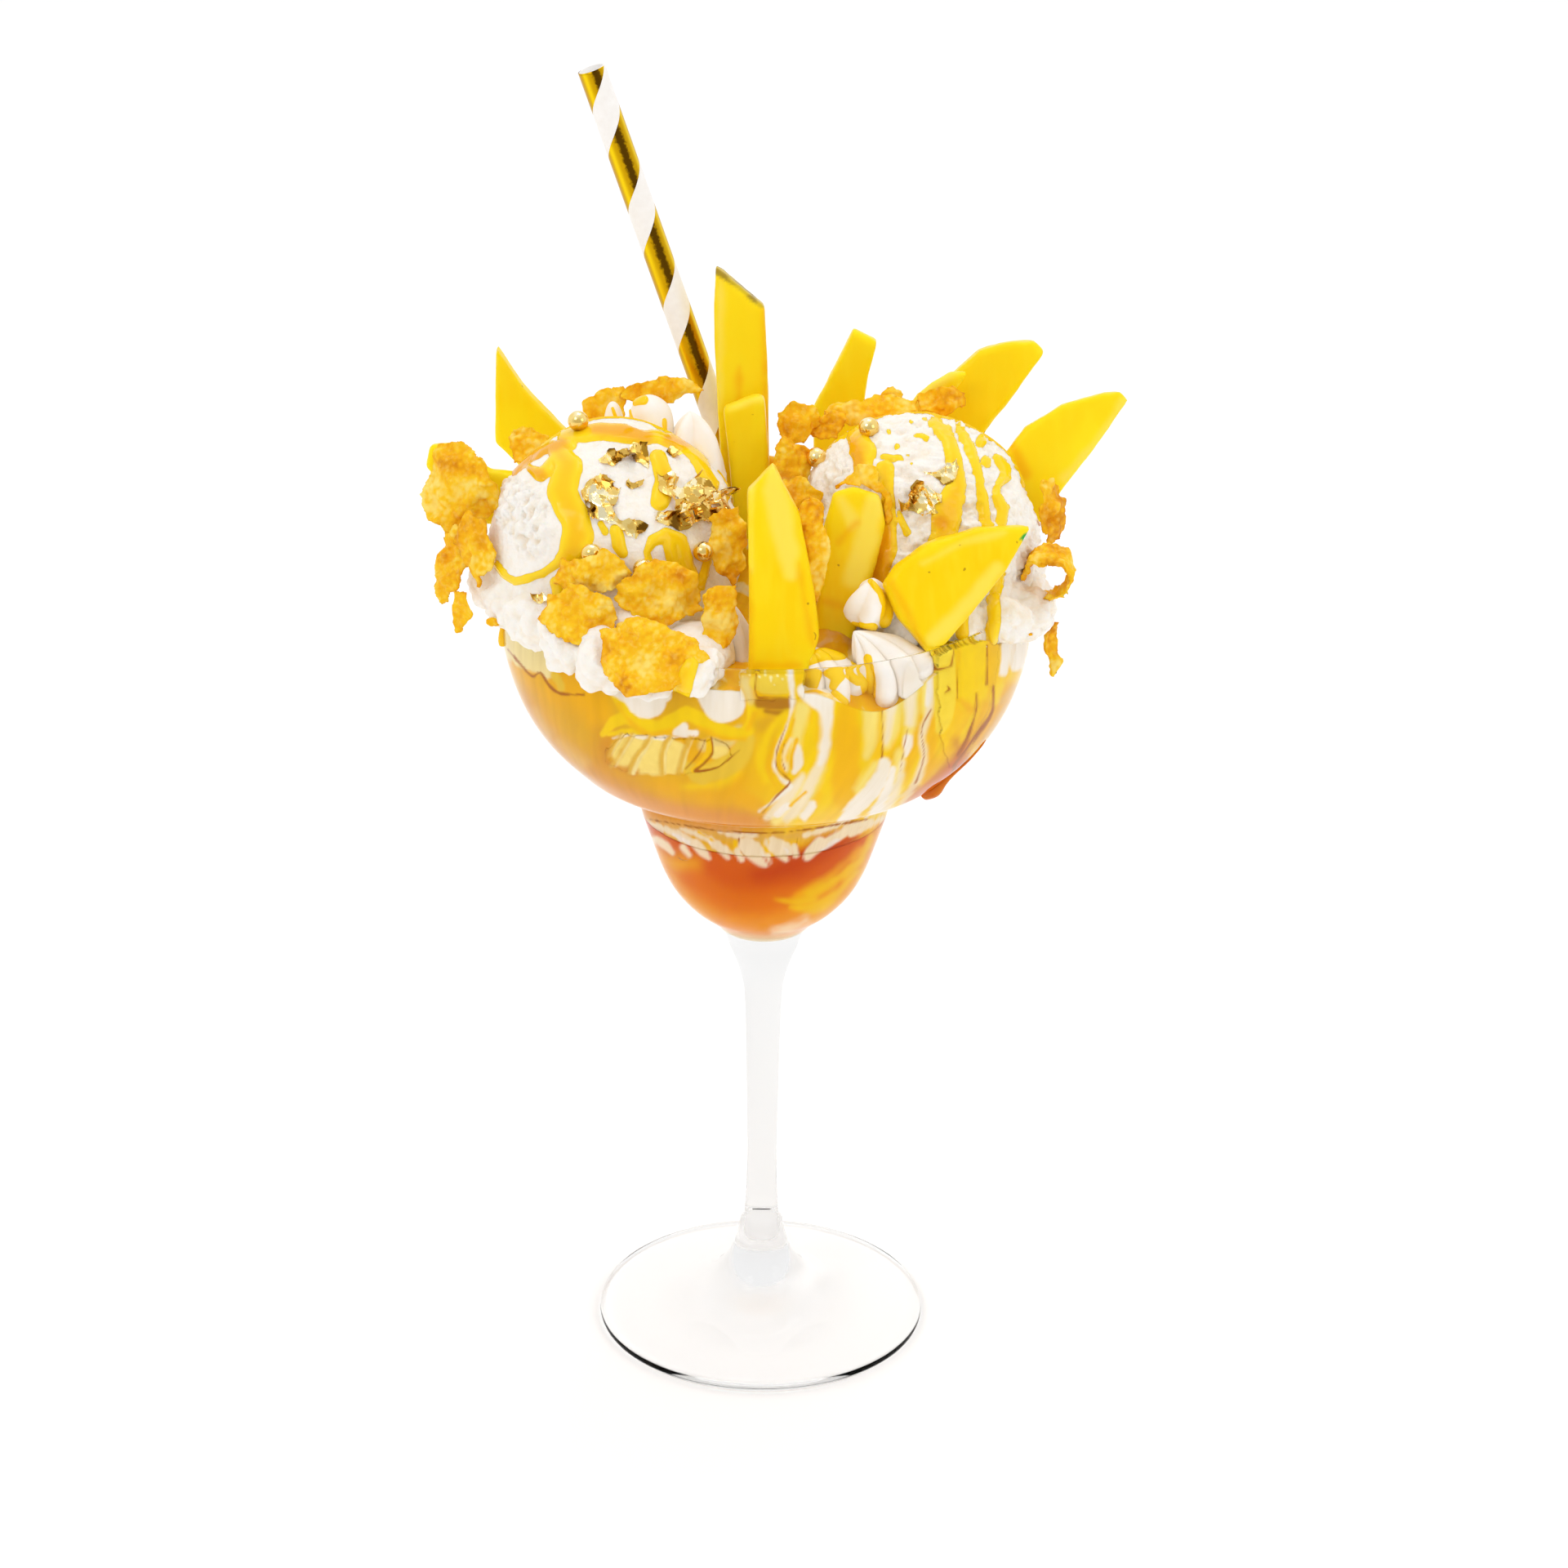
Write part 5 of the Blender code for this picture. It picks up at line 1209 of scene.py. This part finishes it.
def behind_sauce(direction, spots, seed):
    """How far points of a scoop's back are from its sauce, which runs down in bands from a cap."""
    bearing = bearing_of(direction)
    elevation = np.degrees(np.arcsin(np.clip(direction[:, 2], -1, 1)))
    gap = np.full(len(spots), 60.0)
    for turn, lowest, wide in BACK_BANDS:
        off = np.abs((bearing - turn + 180) % 360 - 180) * np.cos(np.radians(elevation))
        share = ramp(elevation, lowest - 6, lowest + 10)
        gap = np.minimum(gap, (off - wide * share) * 2.4 + (1 - ramp(elevation, lowest - 3, lowest + 3)) * 40)
    gap = np.minimum(gap, (BACK_CAP + 8 * smooth_noise(spots, 9.0, seed + 13) - elevation) * 2.2)
    return gap + 3 * smooth_noise(spots, 3.0, seed + 15)


def make_scoop(node):
    """A scoop with its skirt: icy and pitted, broken where it hangs over the rim, and smooth under sauce."""
    middle, half, seed = SCOOPS[node]
    parts = [ball_points(middle, np.full(3, half), seed, 5)]
    for i, (bearing, distance, height, wide, tall) in enumerate(SKIRTS[node]):
        turn = math.radians(bearing)
        at = (math.sin(turn) * distance, -math.cos(turn) * distance, height)
        parts.append(ball_points(at, np.array([wide, wide, tall]) * LUMP_GROWN, seed + i + 1, 3))
    obj = remesh(make_mesh(node + "_ice", *joined(parts)), SCOOP_VOXEL, 6)
    spots, normals = points_of(obj), normals_of(obj)
    away = CAMERA_AT - spots
    seen = np.sum(away * normals, axis=1) / np.linalg.norm(away, axis=1)
    x, y = to_pixels(spots)
    skirt = ramp(np.hypot(spots[:, 0], spots[:, 1]), *SKIRT_FROM) * ramp(SKIRT_TOP - spots[:, 2], 0, 4)
    icy = np.where(seen > 0, ramp(-stroke_gap(x, y, ICY_PATCH), -4, 4), 0)
    if node == "scoop_right":
        icy = 0.5 + 0.5 * ramp(smooth_noise(spots, 9.0, seed + 3), -0.3, 0.4)
    pits = ramp(-smooth_noise(spots, 1.4, seed + 4), 0.1, 0.5) * (0.2 + 0.8 * icy)
    crumb = 0.45 * layered_noise(spots, 3.0, 3, seed) + 0.65 * np.abs(smooth_noise(spots, 1.2, seed + 5))
    crumb -= 0.6 * pits
    gap = cell_gap(spots, 2.6, seed + 9)
    broken = 1.4 * (0.55 - gap) + 1.2 * layered_noise(spots, 4.5, 3, seed + 7)
    calm = ramp(-stroke_gap(x, y, UNDER_FLAKE), 0, 8)
    rough = crumb * (0.4 + 1.2 * icy) * (1 - skirt) + (broken * (1 - calm) - 0.9 * calm) * skirt
    front = stroke_gap(x, y, SAUCE_ON_SCOOP[node]) + 1.2 * smooth_noise(spots, 2.2, seed + 11)
    behind = behind_sauce((spots - np.array(middle)) / half, spots, seed)
    sauce_gap = np.where(seen > FACING, front, behind)
    inside = ramp(-sauce_gap, -1.0, 5.0)
    rough = rough * (1 - 0.85 * inside)
    spots = spots + normals * (rough + SAUCE_HEIGHT * inside)[:, None]
    move_points(obj, spots)
    keep(obj, "sauce", np.clip(0.5 - sauce_gap / 8, 0, 1))
    keep(obj, "thick", ramp(-sauce_gap, 4, 16))
    amber_gap = stroke_gap(x, y, AMBER_ON_SCOOP[node]) + 1.5 * smooth_noise(spots, 2.5, seed + 17)
    keep(obj, "amber", np.where(seen > FACING, ramp(-amber_gap, -5, 5), 0))
    # Painted shade in the pits and in the cracks of the broken skirt
    keep(obj, "pit_shade", np.clip(pits + 0.6 * skirt * ramp(gap, 0.55, 0.85), 0, 1))
    return add_piece(obj, MATERIALS["ice"], [node])


# Fruit, flakes and meringue

def make_mango(node):
    obj, spots, normals = remeshed_node(node, node + "_flesh", MANGO_VOXEL, 5)
    relief = 0.16 * layered_noise(spots * np.array([1, 1, 0.4]), 4.0, 3, 51)
    relief += 0.3 * smooth_noise(spots * np.array([1, 1, 0.5]), 11.0, 52)
    x, y = to_pixels(spots)
    spots = spots + normals * relief[:, None]
    move_points(obj, spots)
    # The face value: painted light on the back slices, plus a lighter tone that varies at random
    keep(obj, "face", LIT_BACK_SLICES.get(node, 0.0) + ramp(smooth_noise(spots, 14.0, 53), 0.1, 0.7) * 0.35)
    wander = 2.5 * smooth_noise(spots, 3.0, 55)
    # Painted light and painted shade, laid in zones by strokes
    for zone, table in (("painted_light", MANGO_PAINTED_LIGHT), ("deep", MANGO_PAINTED_SHADE)):
        gap = stroke_gap(x, y, table[node]) + wander if node in table else np.full(len(spots), FAR)
        keep(obj, zone, ramp(-gap, -ZONE_SOFT, ZONE_SOFT))
    skin = ramp(-stroke_gap(x, y, SKIN_BROWN), -2, 1.5) * (node == "mango_tall")
    keep(obj, "brown_skin", skin * (0.55 + 0.45 * ramp(smooth_noise(spots, 2.0, 54), -0.3, 0.4)))
    keep(obj, "green_skin", ramp(-stroke_gap(x, y, SKIN_GREEN), -1, 1) * (node == "mango_leaf"))
    add_piece(obj, MATERIALS["mango"], [node])


def make_flake(node):
    """A thin crisp flake: ragged at its edge, bubbled on both faces and browner where it is thin."""
    obj, spots, normals = remeshed_node(node, node + "_toasted", FLAKE_VOXEL, 2)
    bulge = np.sum((spots - evened(obj, spots, 7)) * normals, axis=1)
    edge = ramp(bulge, 0.12, 0.3)
    seed = sum(ord(letter) for letter in node)
    shift = np.array([seed * 1.7, seed * 0.9, seed * 2.3])
    spots = spots - normals * (0.22 * (1 - edge))[:, None]
    for size, depth in FLAKE_WAVES:
        spots = spots + depth * noise_push(spots + shift, size, seed + 1)
    move_points(obj, spots)
    normals = normals_of(obj)
    gap = cell_gap(spots + shift, 1.35, seed)
    blister = np.clip(0.8 - gap, 0, 1) * ramp(smooth_noise(spots + shift, 3.5, seed + 6), -0.7, 0.3)
    fine = smooth_noise(spots + shift, 0.7, seed + 9)
    spots = spots + normals * (0.42 * blister + 0.07 * fine)[:, None]
    move_points(obj, spots)
    broad = layered_noise(spots + shift, 5.0, 2, seed + 4)
    rim = edge * ramp(smooth_noise(spots + shift, 2.2, seed + 8), -0.6, 0.5)
    toast = 0.54 - 0.55 * blister + 0.36 * broad + 0.18 * fine + 0.35 * rim + FLAKE_TOAST.get(node, 0.0)
    keep(obj, "toast", np.clip(toast, 0, 1))
    add_piece(obj, MATERIALS["flake"], [node])


def make_kiss(node):
    """A piped drop with rounded ridges and sharp grooves that turn towards the tip."""
    base, tip, radius, ridges, twist, blunt = KISSES[node]
    base, tip = Vector(base), Vector(tip)
    axis = tip - base
    sides = max(20 * ridges, 64)
    angles = np.arange(sides) * math.tau / sides
    ridge = np.abs(np.cos(angles * ridges / 2)) if ridges else np.ones(sides)
    rings, groove_shades = Rings(), [np.zeros(1)]
    rings.add([(0, 0, -KISS_FOOT * axis.length)])
    for share in np.concatenate([np.linspace(-0.36, 0.0, 10)[:-1], np.linspace(0, 1, 44)[:-1]]):
        if share < 0:
            swell = math.sqrt(max(1 - (share / KISS_FOOT) ** 2, 0.0)) * 0.98
        else:
            swell = (1 - share**blunt) ** (0.85 if ridges else 0.6)
        depth = KISS_RIDGE * (1 - 0.35 * float(ramp(np.array(-share), 0.1, 0.36))) if ridges else 0.0
        r = radius * swell * (1 - depth + depth * 1.35 * ridge**(0.7 if ridges > 5 else 1.6))
        swing = angles + math.radians(twist) * max(share, 0) ** 0.8
        height = np.full(sides, axis.length * share)
        rings.add(np.column_stack([r * np.cos(swing), r * np.sin(swing), height]))
        groove_shades.append(ramp(0.3 - ridge, 0, 0.3))
    rings.add([(0, 0, axis.length)])
    groove_shades.append(np.zeros(1))
    spots = rings.spots() @ np.array(axis.to_track_quat("Z", "Y").to_matrix()).T + np.array(base)
    spots = spots + 0.35 * noise_push(spots, 4.0, 61)
    limit = inner_radius(np.minimum(spots[:, 2], RIM_TOP - 1)) + REACH - 0.2
    across = np.hypot(spots[:, 0], spots[:, 1])
    spots[:, :2] *= np.where(spots[:, 2] < RIM_TOP + 2, np.minimum(1.0, limit / across), 1.0)[:, None]
    obj = face_out(make_mesh(node + "_piped", spots, rings.faces()))
    normals = normals_of(obj)
    seen = np.sum((CAMERA_AT - spots) * normals, axis=1) > 0
    gap = stroke_gap(*to_pixels(spots), SAUCE_ON_KISS.get(node, [[(0, 0, 0)]])) + smooth_noise(spots, 1.5, 63)
    gap = np.where(seen, gap, 20.0)
    move_points(obj, spots + normals * (0.5 * ramp(-gap, -1, 4))[:, None])
    # Painted shade in the grooves between the ridges
    keep(obj, "groove", np.concatenate(groove_shades) * 0.22)
    keep(obj, "sauce", np.clip(0.5 - gap / 8, 0, 1))
    add_piece(obj, MATERIALS["meringue"], [node])


# Straw

def streaks(around, table):
    """How far bearings lie within a table's streaks."""
    return sum(np.exp(-(((around - at + 180) % 360 - 180) / half) ** 2) for at, half in table)


def make_straw():
    inner = STRAW_RADIUS - STRAW_WALL
    angles = np.arange(STRAW_SIDES) * math.tau / STRAW_SIDES
    up, down = np.linspace(-STRAW_LENGTH, 0, OUTER_ROWS), np.linspace(0, -STRAW_LENGTH, INNER_ROWS)
    rings, band = Rings(), []
    for radius, run in ((STRAW_RADIUS, up), (inner, down)):
        for z in run:
            height = np.full(STRAW_SIDES, z)
            rings.add(np.column_stack([radius * np.cos(angles), radius * np.sin(angles), height]))
            share = (-z / STRAW_PITCH + angles / math.tau + STRAW_START) % 1.0
            foil = np.minimum(share, (1 - STRAW_WHITE) - share)
            foil = np.where(share > 1 - STRAW_WHITE, -np.minimum(share - (1 - STRAW_WHITE), 1 - share), foil)
            band.append(np.clip(0.5 + foil * 10, 0, 1) if radius > inner else np.zeros(STRAW_SIDES))
    lean = np.array(Matrix.Rotation(math.radians(STRAW_LEAN), 3, "Y"))
    spots = rings.spots() @ lean.T + np.array(STRAW_TOP)
    obj = face_out(make_mesh("striped_straw", spots, rings.faces(closed=True)))
    keep(obj, "band", np.concatenate(band))
    # The foil's painted reflections, kept by bearing
    for name, table in (("dark", FOIL_DARK), ("bright", FOIL_BRIGHT)):
        keep(obj, name, np.tile(streaks(np.degrees(angles), table), len(band)))
    add_piece(obj, straw_material(), ["straw"])


# Surfaces that small pieces lie on

def surface_of(obj):
    """The object's faces in metres, ready for rays."""
    corners = [tuple(v.co) for v in obj.data.vertices]
    return BVHTree.FromPolygons(corners, [tuple(face.vertices) for face in obj.data.polygons])


def hit(surface, x, y):
    """Where a pixel's ray meets a surface, with the surface's normal, in millimetres."""
    spot, normal, _, _ = surface.ray_cast(Vector(CAMERA_AT * MM), Vector(pixel_ray(x, y)))
    return None if spot is None else (np.array(spot) / MM, np.array(normal))


def first_hit(surface, x, y, slant, steps):
    """The first meeting with a surface along a slanting row of pixels."""
    tries = (hit(surface, x + step, y + slant * step) for step in steps)
    return next((one for one in tries if one is not None), None)


def wall_guide(out):
    """The inside of the glass, moved out by a little."""
    obj = turned("guide", [(z, r + out) for z, r in inner_run()[1:]], 120)
    surface = surface_of(obj)
    bpy.data.objects.remove(obj)
    return surface


def inside_outline(x, y, outline):
    """Whether points lie inside a closed outline, by crossings."""
    odd = np.zeros(len(x), bool)
    for (x0, y0), (x1, y1) in zip(outline, outline[1:] + outline[:1]):
        crosses = (y0 > y) != (y1 > y)
        odd ^= crosses & (x < (x1 - x0) * (y - y0) / ((y1 - y0) or 1e-9) + x0)
    return odd


def laid_on(surface, outline, step, sway, level=0.0, holes=None):
    """A grid of pixels within a wavering outline, laid on a surface: points with normals, and squares."""
    cols, rows = (np.arange(run.min() - 4, run.max() + 5, step) for run in np.array(outline).T)
    gx, gy = np.meshgrid(cols, rows, indexing="ij")
    flat = np.column_stack([gx.ravel(), gy.ravel(), np.full(gx.size, level)])
    wx, wy = (
        grid.ravel() + sum(much * smooth_noise(flat, size, seed) for much, size, seed in waves)
        for grid, waves in zip((gx, gy), sway))
    use = inside_outline(wx, wy, outline)
    if holes:
        size, seed, most = holes
        use &= smooth_noise(flat, size, seed) <= most
    index, found = -np.ones(gx.shape, int), []
    for i, j in np.argwhere(use.reshape(gx.shape)):
        spot = hit(surface, gx[i, j], gy[i, j])
        if spot is not None:
            index[i, j] = len(found)
            found.append(np.concatenate(spot))
    squares = np.stack([index[:-1, :-1], index[1:, :-1], index[1:, 1:], index[:-1, 1:]], axis=-1)
    squares = squares.reshape(-1, 4)
    return np.array(found).reshape(-1, 6), squares[squares.min(axis=1) >= 0].tolist()


# Pieces pressed against the glass

def make_patch(node, outline, surface, depth):
    """A patch that lies on the inside of the wall: ribbed, in plates or a thin film."""
    found, squares = laid_on(surface, outline, SUNK_STEP, SUNK_SWAY)
    points, outs = found[:, :3], found[:, 3:]
    crease = "rib_shade" if node == "kiss_sunk" else "crease_shade"
    creases = [stroke for colour, _, strokes in WALL_PAINT if colour == crease for stroke in strokes]
    groove = ramp(-stroke_gap(*to_pixels(points), creases), -3, 0)
    obj = make_mesh(node + "_behind_glass", points + outs * (RIB_RELIEF * (0.4 - groove))[:, None], squares)
    keep_paint(obj, wall_colours(points))
    outward = np.mean(np.sum(normals_of(obj) * outs, axis=1)) > 0
    return thickened(obj, depth, -1 if outward else 1)


# Gold and crumbs

def make_pearls(surfaces):
    parts = []
    for node, pixels in PEARLS.items():
        for x, y in pixels:
            found = first_hit(surfaces[node], x, y + 4, 1, range(0, 40, 4))
            if found is not None:
                spot, normal = found
                middle = spot + normal * PEARL_RADIUS * 0.75
                points, faces = ball_points(middle, np.full(3, PEARL_RADIUS), 0, 4)
                away = points - middle
                parts.append((middle + away / np.linalg.norm(away, axis=1)[:, None] * PEARL_RADIUS, faces))
    obj = face_out(make_mesh("sugar_pearls", *joined(parts)))
    up = normals_of(obj)[:, 2]
    # Painted light: the pearls brighter on top and darker below
    keep(obj, "tilt", np.clip(0.55 + 0.3 * up + 0.2 * smooth_noise(points_of(obj), 1.3, 77), 0, 1))
    add_piece(obj, gold_material("gold_pearl", 0.12, 0.01))


def make_crumbs(surfaces):
    """Loose crumbs of toasted flake."""
    parts = []
    for number, (node, x, y, size) in enumerate(CRUMBS):
        found = first_hit(surfaces[node], x, y, -1, range(0, 24, 3))
        if found is not None:
            spot, normal = found
            points, faces = ball_points((0, 0, 0), np.array([size, size * 0.7, size * 0.8]), number + 5, 4)
            points = points * (1 + 0.3 * smooth_noise(points + number * 9.0, 0.9, 95))[:, None]
            parts.append((points + spot + normal * size * 0.5, faces))
    obj = face_out(make_mesh("flake_crumbs", *joined(parts)))
    keep(obj, "toast", np.clip(0.55 + 0.4 * smooth_noise(points_of(obj), 1.0, 96), 0, 1))
    add_piece(obj, MATERIALS["flake"])


def make_leaf(surfaces):
    """Crumpled gold leaf: patches laid on the scoops, then broken into tilted facets."""
    parts = []
    for node, patches in LEAF_PATCHES.items():
        for number, outline in enumerate(patches):
            found, squares = laid_on(surfaces[node], outline, LEAF_STEP, LEAF_SWAY, number * 50.0, LEAF_HOLES)
            parts.append((found, [half for a, b, c, d in squares for half in ((a, d, c), (a, c, b))]))
    both, faces = joined(parts)
    flat_leaf = make_mesh("leaf_shape", both[:, :3], faces)
    spots, normals = evened(flat_leaf, both[:, :3], 5), evened(flat_leaf, both[:, 3:], 5)
    normals /= np.linalg.norm(normals, axis=1)[:, None]
    bpy.data.objects.remove(flat_leaf)
    height, tilt = np.zeros(len(spots)), np.full(len(spots), 0.5)
    for size, slope, share, seed in LEAF_FACETS:
        away, mark = cell_offset(spots, size, seed)
        height += np.sum(away * mark, axis=1) * size * slope + (mark[:, 0] - 0.2) * size * 0.16
        # Painted reflection: each facet made darker or brighter by a random tilt
        tilt += share * mark[:, 2]
    spots = spots + normals * (0.7 + np.clip(height, -0.5, 2.4))[:, None]
    obj = make_mesh("gold_leaf", spots, faces, smooth=False)
    keep(obj, "tilt", np.clip(tilt, 0, 1))
    edited(obj, lambda bm: bmesh.ops.delete(
        bm, geom=[v for v in bm.verts if not v.link_faces], context="VERTS"))
    thickened(obj, LEAF_THICKNESS, 0, smooth=False)
    add_piece(obj, gold_material("gold_leaf", 0.16, 0.03))


# Drips on the outside of the glass

def make_drip(name, material):
    """A drop of sauce that has run down the outside of the glass."""
    outline = outer_run()
    heights, radii = outline[outline[:, 0] > 30].T
    turns = np.arange(DRIP_SIDES) * math.tau / DRIP_SIDES
    rings = Rings()
    run = smooth_run(OUTSIDE_DRIPS[name], 6)
    for i, (bearing, z, half) in enumerate(run):
        sine, cosine = math.sin(math.radians(bearing)), math.cos(math.radians(bearing))
        radius, over, under = np.interp([z, z + 0.5, z - 0.5], heights, radii)
        out = np.array([sine, -cosine, under - over])
        out /= np.linalg.norm(out)
        at, side = np.array([sine * radius, -cosine * radius, z]), np.array([cosine, sine, 0.0])
        half *= 0.3 if i == 0 else 0.6 if i in (1, len(run) - 1) else 1.0
        lift = np.sin(turns) * half
        lift = np.where(lift > 0, lift, lift * 0.2)
        rings.add(at + np.outer(np.cos(turns) * half, side) + np.outer(lift, out))
    faces = [rings.rings[0][::-1], *rings.faces(), rings.rings[-1]]
    obj = face_out(make_mesh(name, rings.spots(), faces))
    smoother = obj.modifiers.new("round", "SUBSURF")
    smoother.levels = smoother.render_levels = 2
    add_piece(settle(obj), material)


# Stage

def make_camera():
    data = bpy.data.cameras.new("camera")
    data.sensor_width = SENSOR
    data.lens = FOCAL_PX / PHOTO_SIZE * SENSOR
    data.clip_start, data.clip_end = 0.01, 50
    camera = bpy.data.objects.new("camera", data)
    bpy.context.scene.collection.objects.link(camera)
    tip = Matrix.Rotation(math.pi / 2 - math.radians(CAMERA_TILT), 4, "X")
    roll = Matrix.Rotation(math.radians(CAMERA_ROLL), 4, "Z")
    camera.matrix_world = Matrix.Translation(Vector(CAMERA_AT * MM)) @ tip @ roll
    bpy.context.scene.camera = camera


def make_floor():
    half = FLOOR_SIZE / 2 / MM
    corners = [(x * half, y * half, -0.05) for x, y in ((-1, -1), (1, -1), (1, 1), (-1, 1))]
    obj = make_mesh("floor", corners, [(0, 1, 2, 3)], smooth=False)
    nodes = Nodes("white_floor", Base_Color=(0.97, 0.97, 0.97, 1), Roughness=0.9, Emission_Color=(1, 1, 1, 1),
                  Emission_Strength=0.05)
    obj.data.materials.append(nodes.material)


def make_lights():
    """A white sky, dimmer in front, and three lamps."""
    world = bpy.data.worlds.new("studio")
    bpy.context.scene.world = world
    world.use_nodes = True
    tree = world.node_tree
    sky = tree.nodes["Background"]
    sky.inputs["Color"].default_value = (1, 1, 1, 1)
    kinds = "ShaderNodeTexCoord", "ShaderNodeSeparateXYZ", "ShaderNodeMapRange"
    place, split, fade = (tree.nodes.new(kind) for kind in kinds)
    tree.links.new(place.outputs["Generated"], split.inputs[0])
    tree.links.new(split.outputs["Y"], fade.inputs["Value"])
    spans = {"From Min": -0.8, "From Max": -0.1, "To Min": WORLD_DIM, "To Max": WORLD_BRIGHT}
    for socket, value in spans.items():
        fade.inputs[socket].default_value = value
    tree.links.new(fade.outputs[0], sky.inputs["Strength"])
    for name, (at, size, power, colour) in LIGHTS.items():
        data = bpy.data.lights.new(name, "AREA")
        data.size, data.energy, data.color = size, power, colour
        light = bpy.data.objects.new(name, data)
        light.location = at
        light.rotation_euler = (Vector(LIGHT_TARGET) - Vector(at)).to_track_quat("-Z", "Y").to_euler()
        light.visible_camera = False
        bpy.context.scene.collection.objects.link(light)
    bpy.context.scene.view_settings.view_transform = "Standard"
    bpy.context.scene.cycles.blur_glossy = 0.0


make_camera()
make_floor()
make_lights()
MATERIALS = {
    "ice": ice_material(), "mango": mango_material(), "flake": flake_material(),
    "meringue": meringue_material(),
    "sauce": drop_material("mango_sauce", 0.15, 0.002, 0.3, 150.0, DEEP_YELLOW, YELLOW),
    "sunk": painted_material(
        "pressed_piece", 0.4, 0.06, 500.0, (0.35, (0.95, 0.93, 0.88)), (700.0, 3.0), 0.2)}
make_glass()
make_contents()
make_syrup()
scoops = {node: surface_of(make_scoop(node)) for node in SCOOPS}
make_straw()
for node in sorted(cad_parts):
    if node not in SUNK_OUTLINES:
        if node.startswith("mango_"):
            make_mango(node)
        elif node.startswith("flake_"):
            make_flake(node)
        elif node in KISSES:
            make_kiss(node)
make_pearls(scoops)
make_leaf(scoops)
make_crumbs(scoops)
syrup_drop = drop_material("syrup_drip", 0.1, 0.003, 0.2, 120.0, (0.56, 0.12, 0.001), (0.70, 0.22, 0.002))
make_drip("drip_right", syrup_drop)
make_drip("drip_left", MATERIALS["sauce"])
guide = wall_guide(REACH + 0.35)
for node, outline in SUNK_OUTLINES.items():
    add_piece(make_patch(node, outline, guide, SUNK_DEPTH), MATERIALS["sunk"], [node])
add_piece(make_patch("sauce_film", FILM_OUTLINE, guide, FILM_DEPTH), MATERIALS["sunk"])
